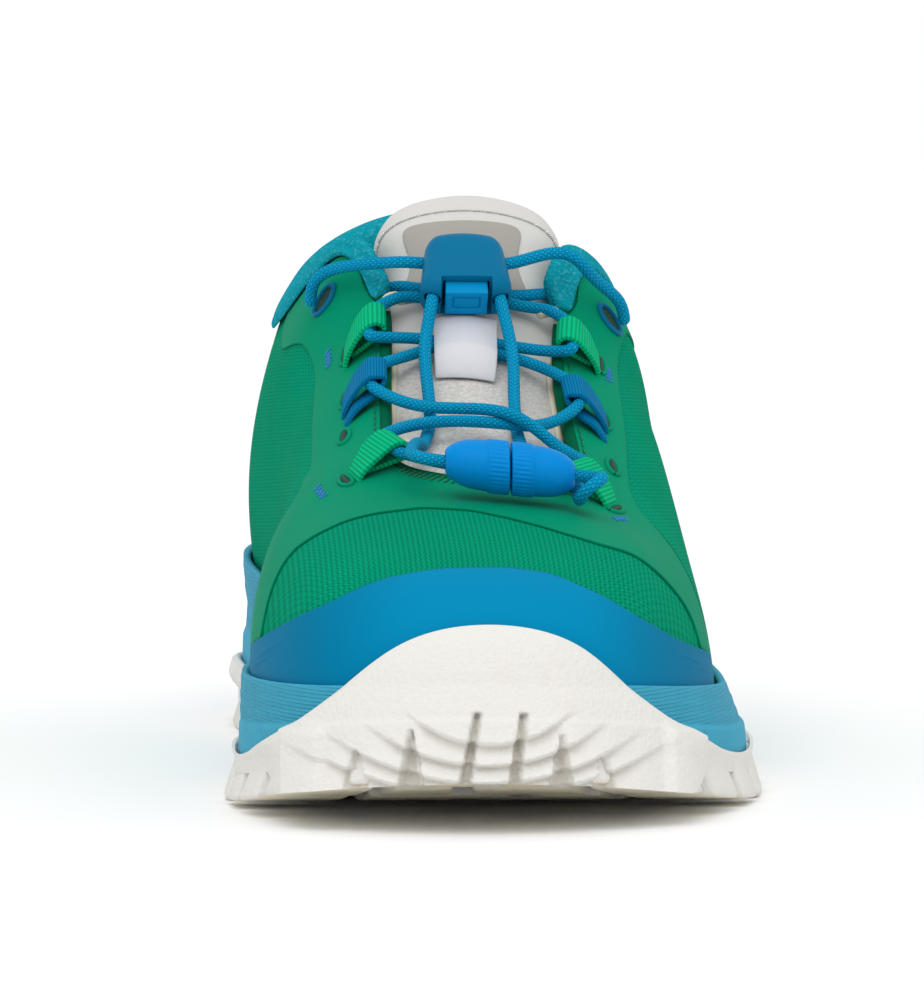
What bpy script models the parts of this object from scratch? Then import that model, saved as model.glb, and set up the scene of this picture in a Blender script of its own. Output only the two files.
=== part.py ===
"""Hiking shoe for the left foot: a hollow lasted upper on a cup midsole and a lugged outsole.

Frame in metres: toe toward -Y, heel toward +Y, lateral side +X, medial side -X, floor at Z 0.
Sizes below are in millimetres.
"""
import math

import bmesh
import bpy
import numpy as np

MM = 0.001

# Share of a row between two columns of the mesh, the same in every layer
STEP = 2.0 / 3.0

# Thicknesses and clearances
WALL = 2.0
GAP = 0.35
LAYER = 0.75
CAP_SKIN = 1.0
FILM_SKIN = 0.6
TONGUE_THICK = 3.4
INSOLE_THICK = 4.0
RIM_OUT = 2.0

# Sole build-up
LUG = 4.8
PLATE = 2.2
TOE_SPRING = 10.5
SPRING_FROM = -54.0
HEEL_BEVEL = 3.0
BEVEL_FROM = 112.0
FLOOR_BALL = 14.0
FLOOR_HEEL = 24.0

# Bottom edge of the upper, one row for each cross section from toe to heel
FOOT = [
    # name, x medial, y medial, x lateral, y lateral
    ("toe_tip", -6.0, -132.0, -6.0, -132.0),
    ("toe_front", -19.5, -129.3, 7.5, -128.8),
    ("toe_corner", -32.5, -119.0, 20.5, -118.0),
    ("toe_side", -40.5, -101.0, 31.0, -101.0),
    ("ball_front", -44.2, -80.0, 38.2, -80.0),
    ("ball", -44.4, -58.0, 41.8, -56.0),
    ("ball_back", -41.2, -34.0, 42.0, -30.0),
    ("arch_front", -36.8, -8.0, 39.5, -4.0),
    ("waist", -34.6, 18.0, 36.5, 20.0),
    ("eyestay_top", -34.8, 33.0, 35.0, 34.0),
    ("collar_tip", -35.6, 46.0, 33.8, 47.0),
    ("collar_front", -36.8, 59.0, 32.8, 60.0),
    ("ankle_front", -38.2, 73.0, 31.6, 74.0),
    ("ankle", -39.0, 88.0, 30.2, 88.0),
    ("heel_side", -37.6, 104.0, 28.2, 104.0),
    ("heel_corner", -31.0, 119.0, 21.6, 119.0),
    ("heel_round", -18.6, 129.8, 9.2, 129.8),
    ("heel_back", -4.7, 133.5, -4.7, 133.5),
]

# Top edge of the upper: throat, collar corner and collar
TOP = [
    # name, x, y, z medial, x, y, z lateral
    ("toe_tip", -1.0, -53.0, 57.0, -1.0, -53.0, 57.0),
    ("toe_front", -5.2, -52.6, 57.8, 3.0, -52.8, 56.4),
    ("toe_corner", -9.6, -51.6, 58.5, 7.2, -52.0, 55.8),
    ("toe_side", -13.8, -49.4, 59.2, 11.2, -50.2, 55.4),
    ("ball_front", -17.2, -45.4, 60.4, 14.6, -46.8, 55.6),
    ("ball", -18.8, -38.0, 62.6, 16.6, -40.0, 57.4),
    ("ball_back", -18.8, -25.0, 66.8, 16.8, -27.0, 62.6),
    ("arch_front", -18.2, -8.0, 73.6, 16.0, -9.0, 70.2),
    ("waist", -17.4, 9.0, 81.8, 16.2, 9.0, 79.0),
    ("eyestay_top", -17.8, 21.0, 89.4, 17.8, 21.0, 86.8),
    ("collar_tip", -22.6, 30.0, 97.2, 21.8, 30.0, 94.2),
    ("collar_front", -28.6, 41.0, 94.6, 27.6, 41.0, 90.8),
    ("ankle_front", -33.6, 57.0, 87.2, 30.4, 57.0, 83.4),
    ("ankle", -35.6, 76.0, 83.4, 29.8, 76.0, 79.4),
    ("heel_side", -32.6, 97.0, 87.0, 25.2, 97.0, 83.6),
    ("heel_corner", -26.2, 112.6, 93.4, 17.2, 112.6, 91.6),
    ("heel_round", -15.6, 121.8, 98.2, 6.4, 121.8, 97.6),
    ("heel_back", -4.7, 124.6, 99.6, -4.7, 124.6, 99.6),
]

# Handles of each section: how far the wall leans and rises at the bottom edge,
# and how far it reaches out and drops at the top edge
BULGE = [
    # name, lean, rise, reach, drop medial, lean, rise, reach, drop lateral
    ("toe_tip", 3.0, 28.0, 52.0, 8.0, 3.0, 28.0, 52.0, 8.0),
    ("toe_front", 3.0, 28.0, 47.0, 8.0, 2.5, 27.0, 46.0, 8.0),
    ("toe_corner", 2.5, 27.0, 38.0, 8.0, 1.0, 26.0, 36.0, 8.0),
    ("toe_side", 2.0, 26.0, 28.0, 6.0, -0.5, 24.0, 26.0, 7.0),
    ("ball_front", 2.0, 26.0, 23.0, 5.0, -1.5, 22.0, 22.0, 7.0),
    ("ball", 2.5, 27.0, 21.0, 5.0, -1.5, 22.0, 20.0, 7.0),
    ("ball_back", 3.5, 28.0, 19.0, 6.0, 0.0, 25.0, 19.0, 7.0),
    ("arch_front", 5.0, 30.0, 18.0, 7.0, 3.0, 30.0, 21.0, 7.0),
    ("waist", 7.0, 33.0, 17.0, 9.0, 6.0, 34.0, 21.0, 8.0),
    ("eyestay_top", 7.5, 34.0, 15.0, 11.0, 7.0, 34.0, 19.0, 12.0),
    ("collar_tip", 7.5, 32.0, 12.0, 16.0, 7.0, 32.0, 16.0, 16.0),
    ("collar_front", 7.0, 29.0, 9.5, 20.0, 6.5, 29.0, 11.5, 20.0),
    ("ankle_front", 6.5, 25.0, 7.0, 20.0, 6.0, 24.0, 7.5, 20.0),
    ("ankle", 5.5, 23.0, 6.0, 18.0, 5.0, 22.0, 6.0, 18.0),
    ("heel_side", 5.0, 23.0, 5.0, 20.0, 5.0, 22.0, 5.0, 20.0),
    ("heel_corner", 4.5, 24.0, 3.5, 24.0, 4.5, 24.0, 3.5, 24.0),
    ("heel_round", 4.0, 26.0, 1.5, 28.0, 4.0, 26.0, 1.5, 28.0),
    ("heel_back", 4.0, 26.0, 0.5, 30.0, 4.0, 26.0, 0.5, 30.0),
]

# Sole sides: height of the midsole's rim and of the outsole's wall, and how far the
# midsole's foot and the lugs stand out from the upper
SOLE = [
    # name, rim, wall, low, lug medial, rim, wall, low, lug lateral
    ("toe_tip", 27.0, 37.0, 4.6, 7.0, 27.0, 37.0, 4.6, 7.0),
    ("toe_front", 26.4, 33.6, 4.5, 7.0, 26.2, 33.6, 4.6, 7.2),
    ("toe_corner", 25.4, 22.6, 4.2, 7.0, 25.0, 23.4, 4.8, 7.6),
    ("toe_side", 24.6, 13.4, 3.6, 6.6, 23.4, 13.6, 5.0, 8.0),
    ("ball_front", 24.0, 9.6, 3.2, 6.0, 22.0, 9.6, 5.4, 8.6),
    ("ball", 23.6, 9.8, 3.0, 6.0, 20.8, 9.6, 5.6, 8.7),
    ("ball_back", 24.0, 9.8, 3.0, 5.6, 21.0, 9.8, 5.4, 8.6),
    ("arch_front", 25.6, 9.4, 3.0, 5.0, 22.8, 9.4, 4.6, 7.4),
    ("waist", 28.0, 9.4, 3.0, 4.6, 25.8, 9.4, 4.0, 6.2),
    ("eyestay_top", 29.6, 9.8, 3.2, 4.8, 28.0, 9.8, 4.0, 6.0),
    ("collar_tip", 31.2, 10.8, 3.6, 5.2, 30.0, 10.8, 4.0, 6.0),
    ("collar_front", 32.8, 12.2, 3.8, 5.6, 31.8, 12.2, 4.2, 6.2),
    ("ankle_front", 34.0, 13.6, 4.0, 6.0, 33.4, 13.6, 4.4, 6.4),
    ("ankle", 35.0, 14.2, 4.2, 6.4, 34.6, 14.2, 4.6, 6.8),
    ("heel_side", 36.0, 13.8, 4.4, 6.6, 35.8, 13.8, 4.6, 6.8),
    ("heel_corner", 37.2, 12.6, 4.6, 6.8, 37.2, 12.6, 4.6, 6.8),
    ("heel_round", 38.4, 13.2, 4.3, 6.2, 38.4, 13.2, 4.3, 6.2),
    ("heel_back", 39.0, 14.4, 4.2, 6.0, 39.0, 14.4, 4.2, 6.0),
]

# Overlays: height of the toe cap's upper edge, share at which the saddle's film begins
OVERLAY = [
    # name, cap, film medial, cap, film lateral
    ("toe_tip", 46.2, 0.82, 46.2, 0.82),
    ("toe_front", 43.9, 0.82, 42.0, 0.665),
    ("toe_corner", 38.0, 0.70, 36.0, 0.55),
    ("toe_side", 33.4, 0.54, 31.0, 0.445),
    ("ball_front", 29.6, 0.22, 27.6, 0.25),
    ("ball", 26.8, 0.22, 24.6, 0.60),
    ("ball_back", 25.6, 0.66, 22.6, 0.80),
    ("arch_front", 26.4, 0.68, 23.6, 0.78),
    ("waist", 28.4, 0.67, 26.2, 0.77),
    ("eyestay_top", 30.0, 0.68, 28.4, 0.76),
    ("collar_tip", 31.6, 0.70, 30.4, 0.76),
    ("collar_front", 33.0, 0.74, 32.0, 0.77),
    ("ankle_front", 34.4, 0.74, 33.8, 0.77),
    ("ankle", 35.4, 0.74, 35.0, 0.76),
    ("heel_side", 36.4, 0.74, 36.2, 0.75),
    ("heel_corner", 37.6, 0.74, 37.6, 0.74),
    ("heel_round", 38.8, 0.74, 38.8, 0.74),
    ("heel_back", 39.4, 0.74, 39.4, 0.74),
]
CAP_ENDS = 8 * STEP
FILM_ENDS = 15 * STEP
FILM_STEEP = (4.5, 5.5, 6.5, 7.5, 8.5)

# Collar cuff: out from the upper's face, along the section past its top edge
CUFF = [(0.5, 0.35), (0.8, 2.4), (-0.4, 4.6), (-2.8, 5.4), (-5.2, 4.2), (-6.6, 0.5), (-6.4, -6.0),
        (-5.0, -12.0), (-3.0, -17.0), (-2.45, -17.0), (-2.45, -8.0), (-2.45, 0.35)]
CUFF_FROM = 14 * STEP
CUFF_FADE = 2.2

# Tongue rows under the vamp and in the throat: row, shares of its seven points
TONGUE_LOW = [
    # shares at rows 5.2, 4.2, 2.4, 0, -2.4, -4.2, -5.2
    (0.74, 0.78, 0.82, 0.80, 0.82, 0.78, 0.74),
    (0.82, 0.88, 0.93, 0.92, 0.93, 0.88, 0.82),
]
TONGUE_ROWS = (5.3, 6.0, 7.0, 8.0, 8.8)
TONGUE_CROWN = 3.2
TONGUE_TOP = [
    # seven points across, medial to lateral
    [(-16.4, 35.0, 88.0), (-15.6, 32.0, 91.0), (-11.0, 28.2, 94.2), (0.0, 26.6, 95.8),
     (11.0, 28.2, 93.8), (15.6, 32.0, 90.6), (16.4, 35.0, 87.6)],
    [(-18.2, 42.0, 96.6), (-17.2, 39.4, 99.4), (-12.5, 36.0, 102.4), (0.0, 34.4, 103.8),
     (12.5, 36.0, 102.0), (17.6, 39.4, 98.8), (18.6, 42.0, 96.0)],
    [(-15.5, 45.2, 103.4), (-13.4, 43.8, 106.0), (-8.4, 42.4, 108.4), (0.2, 41.6, 109.6),
     (8.8, 42.4, 108.2), (14.0, 43.8, 105.6), (16.0, 45.2, 103.0)],
]

# Plain bands on the tongue: across from, to, along from, to
PLATE_SPAN = (-0.28, 0.28, 0.748, 0.88)
KEEPER_SPAN = (-0.13, 0.07, 0.476, 0.606)
KEEPER_ARCH = 3.5

# Lace and its hardware
LACE = 2.5
LOOP_ROWS = [("green", 8.05, 7.0), ("blue", 6.85, 6.8), ("green", 4.05, 6.6)]
LOOP_OUTER = [(-10.0, 0.0), (-7.6, 0.0), (-4.4, 0.0), (-1.0, 0.2), (0.8, 1.6),
              (1.0, 3.4), (-0.5, 5.0), (-3.6, 5.2), (-7.0, 3.8), (-10.0, 2.2)]
LOOP_INNER = [(-6.4, 1.1), (-5.4, 0.8), (-4.0, 0.75), (-1.4, 0.85), (0.0, 1.8),
              (0.15, 3.3), (-0.9, 4.3), (-3.5, 4.5), (-5.6, 3.2), (-6.4, 1.9)]
LOOP_HOLE = (-2.1, 2.6)
SLOT_ROWS = (10.0, -9.65)
SLOT_SHARE = 0.84
SLOT_LONG = 3.6
SLOT_WIDE = 2.4
SLOT_ROUND = 0.75
LOCK_WIDE = 18.5
LOCK_TALL = 14.5
LOCK_THICK = 9.0
LOCK_SEAT = 0.655
LOCK_RISE = 4.7
BUTTON_WIDE = 8.2
BUTTON_TALL = 5.6
BUTTON_PROUD = 0.9
BUTTON_TRAVEL = 2.0
BUTTON_UP = 0.4
BUTTON_FLOOR = 1.4
BARREL_ROUND = 5.0
BARREL_AT = (2.3, -69.0, 61.2)
BARREL_TILT = 6.3

# Midsole side from its foot to its rim: share of height, share of the flare, step
MID_SIDE = [(0.0, 1.0, -0.8), (0.07, 1.0, 0.0), (0.40, 0.86, 0.1), (0.46, 0.62, -0.2),
            (0.60, 0.46, 0.25), (0.64, 0.42, -0.35), (0.76, 0.28, 0.25), (0.80, 0.24, -0.35),
            (0.92, 0.08, 0.2), (1.0, 0.0, -0.5)]

# Outsole wall from its edge down: share of height, out from the midsole's side
OUT_SIDE = [(1.0, 1.5), (0.94, 2.2), (0.62, 2.6), (0.3, 2.8)]
# Outsole's lower edge: lift above the plate's bottom, share of the toe's drop, reach; rows where the drop fades
SKIRT = [(0.8, 1.0, 3.2), (0.0, 1.0, 2.4), (0.0, 1.0, -1.4), (0.0, 0.0, -3.0)]
SKIRT_ENDS = (1.7, 2.7)

# Lug rows: front, back, forward sweep at the middle, bottom clearance, cuts across (None: no lug beside it)
LUG_ROWS = [
    (-137.0, -126.0, 0.0, 0.0, (0.27, 0.52, 0.74)),
    (-121.5, -109.5, 2.0, 0.0, (0.24, 0.50, 0.76)),
    (-105.0, -92.5, 3.0, 0.0, (0.23, 0.50, 0.77)),
    (-88.0, -75.5, 4.0, 0.0, (0.22, 0.50, 0.78)),
    (-71.0, -58.5, 4.0, 0.0, (0.22, 0.50, 0.78)),
    (-54.0, -41.5, 4.0, 0.0, (0.22, 0.50, 0.78)),
    (-37.0, -24.5, 4.0, 0.0, (0.24, 0.50, 0.76)),
    (-18.0, -5.0, 0.0, 1.2, (0.24, None, 0.76)),
    (1.0, 14.0, 0.0, 2.0, (0.24, None, 0.76)),
    (20.0, 33.0, 0.0, 2.0, (0.24, None, 0.76)),
    (39.0, 51.0, 0.0, 1.2, (0.24, None, 0.76)),
    (57.0, 69.5, -4.0, 0.0, (0.24, 0.50, 0.76)),
    (74.0, 86.5, -4.0, 0.0, (0.24, 0.50, 0.76)),
    (91.0, 103.5, -4.0, 0.0, (0.24, 0.50, 0.76)),
    (108.0, 120.0, -4.0, 0.0, (0.25, 0.50, 0.75)),
    (124.0, 133.0, -2.0, 0.0, (0.29, 0.50, 0.71)),
]
LUG_GROOVE = 3.4

ROWS = len(FOOT)
TURN = 2 * (ROWS - 1)


def around(table, medial, lateral):
    """Columns of a table as one closed ring: toe, medial side, heel, lateral side."""
    left = [[row[i] for i in medial] for row in table]
    right = [[row[i] for i in lateral] for row in table[-2:0:-1]]
    return np.array(left + right, dtype=float)


def closed_curve(points):
    """Smooth closed curve through ring rows, read at a fractional row."""
    count = len(points)
    index = np.arange(count)
    system = np.zeros((count, count))
    system[index, index] = 4.0
    system[index, (index + 1) % count] = 1.0
    system[index, (index - 1) % count] = 1.0
    bend = 6.0 * (np.roll(points, -1, 0) - 2.0 * points + np.roll(points, 1, 0))
    second = np.linalg.solve(system, bend)

    def read(s):
        low = math.floor(s)
        w = s - low
        a = low % count
        b = (low + 1) % count
        curve = ((1 - w) ** 3 - (1 - w)) * second[a] + (w ** 3 - w) * second[b]
        return (1 - w) * points[a] + w * points[b] + curve / 6.0
    return read


def open_curve(points):
    """Smooth open curve through points, read from 0 to 1."""
    points = np.array(points, dtype=float)
    count = len(points)
    system = np.eye(count)
    bend = np.zeros_like(points)
    for i in range(1, count - 1):
        system[i, i - 1:i + 2] = (1.0, 4.0, 1.0)
        bend[i] = 6.0 * (points[i - 1] - 2.0 * points[i] + points[i + 1])
    second = np.linalg.solve(system, bend)

    def read(u):
        at = min(max(u, 0.0), 1.0) * (count - 1)
        a = min(int(at), count - 2)
        w = at - a
        curve = ((1 - w) ** 3 - (1 - w)) * second[a] + (w ** 3 - w) * second[a + 1]
        return (1 - w) * points[a] + w * points[a + 1] + curve / 6.0
    return read


foot_ring = closed_curve(around(FOOT, (1, 2), (3, 4)))
top_ring = closed_curve(around(TOP, (1, 2, 3), (4, 5, 6)))
bulge_ring = closed_curve(around(BULGE, (1, 2, 3, 4), (5, 6, 7, 8)))
sole_ring = closed_curve(around(SOLE, (1, 2, 3, 4), (5, 6, 7, 8)))
overlay_ring = closed_curve(around(OVERLAY, (1, 2), (3, 4)))
UP = np.array((0.0, 0.0, 1.0))


def ground(y):
    """Underside of the lugs: flat, with toe spring and a bevelled heel."""
    toe = max(0.0, (SPRING_FROM - y) / 85.0)
    heel = max(0.0, (y - BEVEL_FROM) / 27.0)
    return TOE_SPRING * toe ** 2 + HEEL_BEVEL * heel ** 2


def floor(y):
    """Footbed floor in the midsole's cup."""
    ramp = min(max((y + 70.0) / 140.0, 0.0), 1.0)
    ramp = ramp * ramp * (3.0 - 2.0 * ramp)
    return FLOOR_BALL + (FLOOR_HEEL - FLOOR_BALL) * ramp + 0.8 * ground(min(y, 0.0))


def outward(s):
    """Level direction away from the foot at a row."""
    step = foot_ring(s + 0.02) - foot_ring(s - 0.02)
    step = step / np.linalg.norm(step)
    return np.array((-step[1], step[0], 0.0))


def section(s):
    """Four handles of the upper's section at a row."""
    x, y = foot_ring(s)
    lean, rise, reach, drop = bulge_ring(s)
    away = outward(s)
    start = np.array((x, y, floor(y) + GAP))
    end = top_ring(s)
    return start, start + lean * away + rise * UP, end + reach * away - drop * UP, end


def rib(s, t):
    """Point of the upper's outer face: row s, share t from bottom edge to top edge."""
    a, b, c, d = section(s)
    q = 1.0 - t
    return q ** 3 * a + 3 * q * q * t * b + 3 * q * t * t * c + t ** 3 * d


def skin(s, t, lift):
    """Upper's face raised along its normal."""
    e = 0.03
    along = rib(s + e, t) - rib(s - e, t)
    rise = rib(s, t + e) - rib(s, t - e)
    normal = np.cross(rise, along)
    return rib(s, t) + lift * normal / np.linalg.norm(normal)


def share_at(s, z):
    """Share t at which the upper's section passes a height."""
    steps = np.linspace(0.0, 0.9, 46)
    heights = np.array([rib(s, t)[2] for t in steps])
    heights = np.maximum.accumulate(heights)
    return float(np.interp(z, heights, steps))


def side(s, z, out):
    """Point at a height, set out level from the upper's face."""
    p = rib(s, share_at(s, z)) + out * outward(s)
    return np.array((p[0], p[1], z))


def middle(s, height, reach=0.93):
    """Point of the long middle line that belongs to a row."""
    a = foot_ring(s)
    b = foot_ring(-s)
    y = reach * 0.5 * (a[1] + b[1])
    return np.array((0.5 * (a[0] + b[0]), y, height(y)))


def plate_top(y):
    return ground(y) + LUG + PLATE


def plate_bottom(y):
    return ground(y) + LUG


def mid_out(s, z):
    """How far the midsole's side stands out at a height."""
    rim, wall, low, lug = sole_ring(s)
    foot = plate_top(foot_ring(s)[1]) + GAP
    share = min(max((z - foot) / (rim - foot), 0.0), 1.0)
    flare = np.interp(share, [row[0] for row in MID_SIDE], [row[1] for row in MID_SIDE])
    return RIM_OUT + (low - RIM_OUT) * float(flare)


part = bpy.data.collections.new("hiking_shoe")
helpers = bpy.data.collections.new("shoe_cutters")


def start_scene():
    for old in list(bpy.data.objects):
        bpy.data.objects.remove(old, do_unlink=True)
    bpy.context.scene.collection.children.link(part)
    bpy.context.scene.collection.children.link(helpers)


def material(name, colour, roughness, metallic=0.0):
    made = bpy.data.materials.new(name)
    made.use_nodes = True
    shader = made.node_tree.nodes["Principled BSDF"]
    shader.inputs["Base Color"].default_value = (*colour, 1.0)
    shader.inputs["Roughness"].default_value = roughness
    shader.inputs["Metallic"].default_value = metallic
    return made


def add_object(name, bm, paint, home=part):
    bmesh.ops.recalc_face_normals(bm, faces=bm.faces[:])
    mesh = bpy.data.meshes.new(name)
    bm.to_mesh(mesh)
    bm.free()
    made = bpy.data.objects.new(name, mesh)
    home.objects.link(made)
    mesh.materials.append(paint)
    if home is helpers:
        made.hide_render = True
        made.display_type = "WIRE"
    return made


def shaped_grid(place, columns, rows, caps=False):
    """A plain grid with each point moved to place(u, v); seams weld, open ends may be filled."""
    bm = bmesh.new()
    bmesh.ops.create_grid(bm, x_segments=columns, y_segments=rows, size=0.5)
    for vert in bm.verts:
        u = round((vert.co.x + 0.5) * columns) / columns
        v = round((vert.co.y + 0.5) * rows) / rows
        vert.co = [c * MM for c in place(u, v)]
    bmesh.ops.remove_doubles(bm, verts=bm.verts[:], dist=0.00002)
    if caps:
        bmesh.ops.holes_fill(bm, edges=bm.edges[:], sides=0)
    return bm


def finish(made, kind, **settings):
    """Add a modifier, apply it and keep the result as the object's mesh."""
    modifier = made.modifiers.new(kind.lower(), kind)
    for key, value in settings.items():
        setattr(modifier, key, value)
    graph = bpy.context.evaluated_depsgraph_get()
    graph.update()
    mesh = bpy.data.meshes.new_from_object(made.evaluated_get(graph))
    made.modifiers.clear()
    old = made.data
    made.data = mesh
    bpy.data.meshes.remove(old)
    return made


def run(first, last):
    """Rows at which a layer of the upper has a column."""
    return [first + k * STEP for k in range(round((last - first) / STEP) + 1)]


def wall(name, at, low, high, outer, inner, rows, paint):
    """A layer of the upper between two lifts, from share low(s) to high(s), over a run of rows."""
    loop = 2 * rows + 2
    closed = at[-1] - at[0] > TURN - 0.5 * STEP

    def place(u, v):
        s = at[round(u * (len(at) - 1))]
        if closed:
            s = s % TURN
        k = round(v * loop) % loop
        outside = k <= rows
        w = k / rows if outside else (loop - 1 - k) / rows
        return skin(s, low(s) + w * (high(s) - low(s)), outer if outside else inner)
    return add_object(name, shaped_grid(place, len(at) - 1, loop, caps=not closed), paint)


def rings(name, levels, paint, columns=51):
    """A body of closed rings from one middle line to another."""
    count = len(levels) - 1

    def place(u, v):
        return levels[round(v * count)]((u * TURN) % TURN)
    return add_object(name, shaped_grid(place, columns, count), paint)


def build_upper(paint):
    wall("upper", run(0, TURN), lambda s: 0.0, lambda s: 1.0, 0.0, -WALL, 8, paint)


def build_midsole(paint):
    levels = [lambda s: middle(s, lambda y: plate_top(y) + GAP)]
    for share, flare, step in MID_SIDE:
        def level(s, share=share, flare=flare, step=step):
            rim, top, low, lug = sole_ring(s)
            foot = plate_top(foot_ring(s)[1]) + GAP
            return side(s, foot + share * (rim - foot), RIM_OUT + flare * (low - RIM_OUT) + step)
        levels.append(level)
    levels.append(lambda s: side(s, sole_ring(s)[0], GAP))
    levels.append(lambda s: side(s, 0.5 * (sole_ring(s)[0] + floor(foot_ring(s)[1])), GAP))
    levels.append(lambda s: side(s, floor(foot_ring(s)[1]), GAP))
    levels.append(lambda s: middle(s, floor))
    rings("midsole", levels, paint)


def build_insole(paint):
    def edge(s, lift, inset):
        return side(s, floor(foot_ring(s)[1]) + lift, -WALL - inset)
    levels = [
        lambda s: middle(s, lambda y: floor(y) + GAP + 0.2, 0.84),
        lambda s: edge(s, GAP + 0.2, 1.8),
        lambda s: edge(s, 1.6, 1.2),
        lambda s: edge(s, INSOLE_THICK + 1.6, 1.4),
        lambda s: edge(s, INSOLE_THICK, 9.0),
        lambda s: middle(s, lambda y: floor(y) + INSOLE_THICK, 0.84),
    ]
    rings("insole", levels, paint, 34)


def wall_level(s, share, out):
    """Point of the outsole's wall: share of its height above the plate, out from the midsole's side."""
    foot = plate_top(foot_ring(s)[1])
    z = foot + share * (sole_ring(s)[1] - foot)
    return side(s, z, mid_out(s, z) + out)


def skirt_level(s, lift, share, out):
    """Ring of the outsole's lower edge, which runs down to the lugs' bottoms round the toe."""
    near = min(s % TURN, TURN - s % TURN)
    w = min(1.0, max(0.0, (SKIRT_ENDS[1] - near) / (SKIRT_ENDS[1] - SKIRT_ENDS[0])))
    drop = share * w * w * (3.0 - 2.0 * w) * (LUG - 0.3)
    return side(s, plate_bottom(foot_ring(s)[1]) + lift - drop, sole_ring(s)[2] + out)


def build_outsole(paint):
    levels = [lambda s: middle(s, plate_top)]
    levels += [lambda s, k=k: wall_level(s, k, GAP + 0.6) for k in (0.0, 0.5, 1.0)]
    for share, out in OUT_SIDE:
        levels.append(lambda s, share=share, out=out: wall_level(s, share, out))
    for row in SKIRT:
        levels.append(lambda s, row=row: skirt_level(s, *row))
    levels.append(lambda s: middle(s, plate_bottom))
    body = rings("outsole", levels, paint)
    lugs = build_lugs(paint)
    finish(body, "BOOLEAN", operation="UNION", solver="EXACT", object=lugs)
    bpy.data.objects.remove(lugs, do_unlink=True)


def lug_edges():
    """Outer edges of the lugs as x against y, medial and lateral."""
    sides = []
    for sign in (1, -1):
        edge = [foot_ring(sign * k / 3) + sole_ring(sign * k / 3)[3] * outward(sign * k / 3)[:2]
                for k in range(3 * ROWS - 2)]
        edge = np.array(edge)
        order = np.maximum.accumulate(edge[:, 1]) + 1e-6 * np.arange(len(edge))
        sides.append((order, edge[:, 0]))
    return sides


def build_lugs(paint):
    medial, lateral = lug_edges()
    bm = bmesh.new()
    for front, back, sweep, clear, cuts in LUG_ROWS:
        ends = (0.0,) + cuts + (1.0,)
        for a, b in zip(ends, ends[1:]):
            if a is not None and b is not None:
                add_lug(bm, medial, lateral, (front, back, sweep, clear), a, b)
    return add_object("lugs", bm, paint, helpers)


def add_lug(bm, medial, lateral, row, a, b):
    """One lug between two shares of the sole's width: flared block with its top in the plate."""
    front, back, sweep, clear = row
    corners = []
    for y, share, half in ((front, a, 1), (front, b, -1), (back, b, -1), (back, a, 1)):
        left = np.interp(y, *medial)
        right = np.interp(y, *lateral)
        outer = share in (0.0, 1.0)
        x = left + share * (right - left) + (0.0 if outer else half * LUG_GROOVE / 2)
        along = y - sweep * (1.0 - abs(2.0 * share - 1.0))
        inward = (2.6 if share == 0.0 else -2.6) if outer else -half * 0.5
        corners.append((x, along, x + inward))
    bottom = [bm.verts.new((x * MM, y * MM, (ground(y) + clear) * MM)) for x, y, top in corners]
    upper = [bm.verts.new((top * MM, y * MM, (plate_bottom(y) + 1.0) * MM)) for x, y, top in corners]
    bm.faces.new(bottom)
    bm.faces.new(upper)
    for k in range(4):
        bm.faces.new((bottom[k], bottom[(k + 1) % 4], upper[(k + 1) % 4], upper[k]))


def build_toe_cap(paint):
    def low(s):
        return share_at(s, sole_ring(s)[0] + GAP)

    def high(s):
        return share_at(s, max(overlay_ring(s)[0], sole_ring(s)[0] + 1.8))
    wall("toe_cap", run(-CAP_ENDS, CAP_ENDS), low, high, LAYER + CAP_SKIN, LAYER, 4, paint)


def build_saddle(paint):
    def low(s):
        clear = max(overlay_ring(s)[0], sole_ring(s)[0]) + 2 * GAP
        return max(overlay_ring(s)[1], share_at(s, clear))
    between = [way * k * STEP for way in (-1.0, 1.0) for k in FILM_STEEP]
    at = sorted(run(-FILM_ENDS, FILM_ENDS) + between)
    wall("saddle", at, low, lambda s: 0.995, LAYER + FILM_SKIN, LAYER, 7, paint)


def build_cuff(paint):
    first = CUFF_FROM
    last = TURN - CUFF_FROM
    count = len(CUFF)

    def place(u, v):
        s = first + u * (last - first)
        fade = min(1.0, 0.5 + 0.5 * min(s - first, last - s) / CUFF_FADE)
        out, past = CUFF[round(v * count) % count]
        if out < -2.45:
            out = -2.45 + (out + 2.45) * fade
        a, b, c, d = section(s)
        if past < 0.0:
            return skin(s, 1.0 + past * fade / (3.0 * np.linalg.norm(d - c)), out)
        lateral = max(0.0, 1.0 - (last - s) / CUFF_FADE)
        rise = 0.4 * (d - c) / np.linalg.norm(d - c) + 0.6 * UP
        return skin(s, 1.0, out) + past * (1.0 + 0.5 * lateral) * rise / np.linalg.norm(rise)
    add_object("collar_cuff", shaped_grid(place, 23, count, caps=True), paint)


def tongue_rows():
    """Control rows of the tongue's outer face, seven points each."""
    under = -WALL - 1.1
    rows = []
    at = (5.2, 4.2, 2.4, 0.0, -2.4, -4.2, -5.2)
    for shares in TONGUE_LOW:
        rows.append([skin(s, t, under - 1.7) for s, t in zip(at, shares)])
    for s in TONGUE_ROWS:
        wings = [skin(s, t, under) for t in (0.86, 0.93, 1.0)]
        others = [skin(-s, t, under) for t in (1.0, 0.93, 0.86)]
        crown = 0.5 * (wings[2] + others[0]) + TONGUE_CROWN * np.array((0.0, -0.4, 0.92))
        rows.append(wings + [crown] + others)
    rows += [[np.array(p) for p in row] for row in TONGUE_TOP]
    return rows


tongue_lines = [open_curve([row[k] for row in tongue_rows()]) for k in range(7)]


def tongue_face(u, v):
    """Outer face of the tongue: u across from -1 to 1, v along from 0 to 1."""
    return open_curve([line(v) for line in tongue_lines])(0.5 + 0.5 * u)


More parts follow.
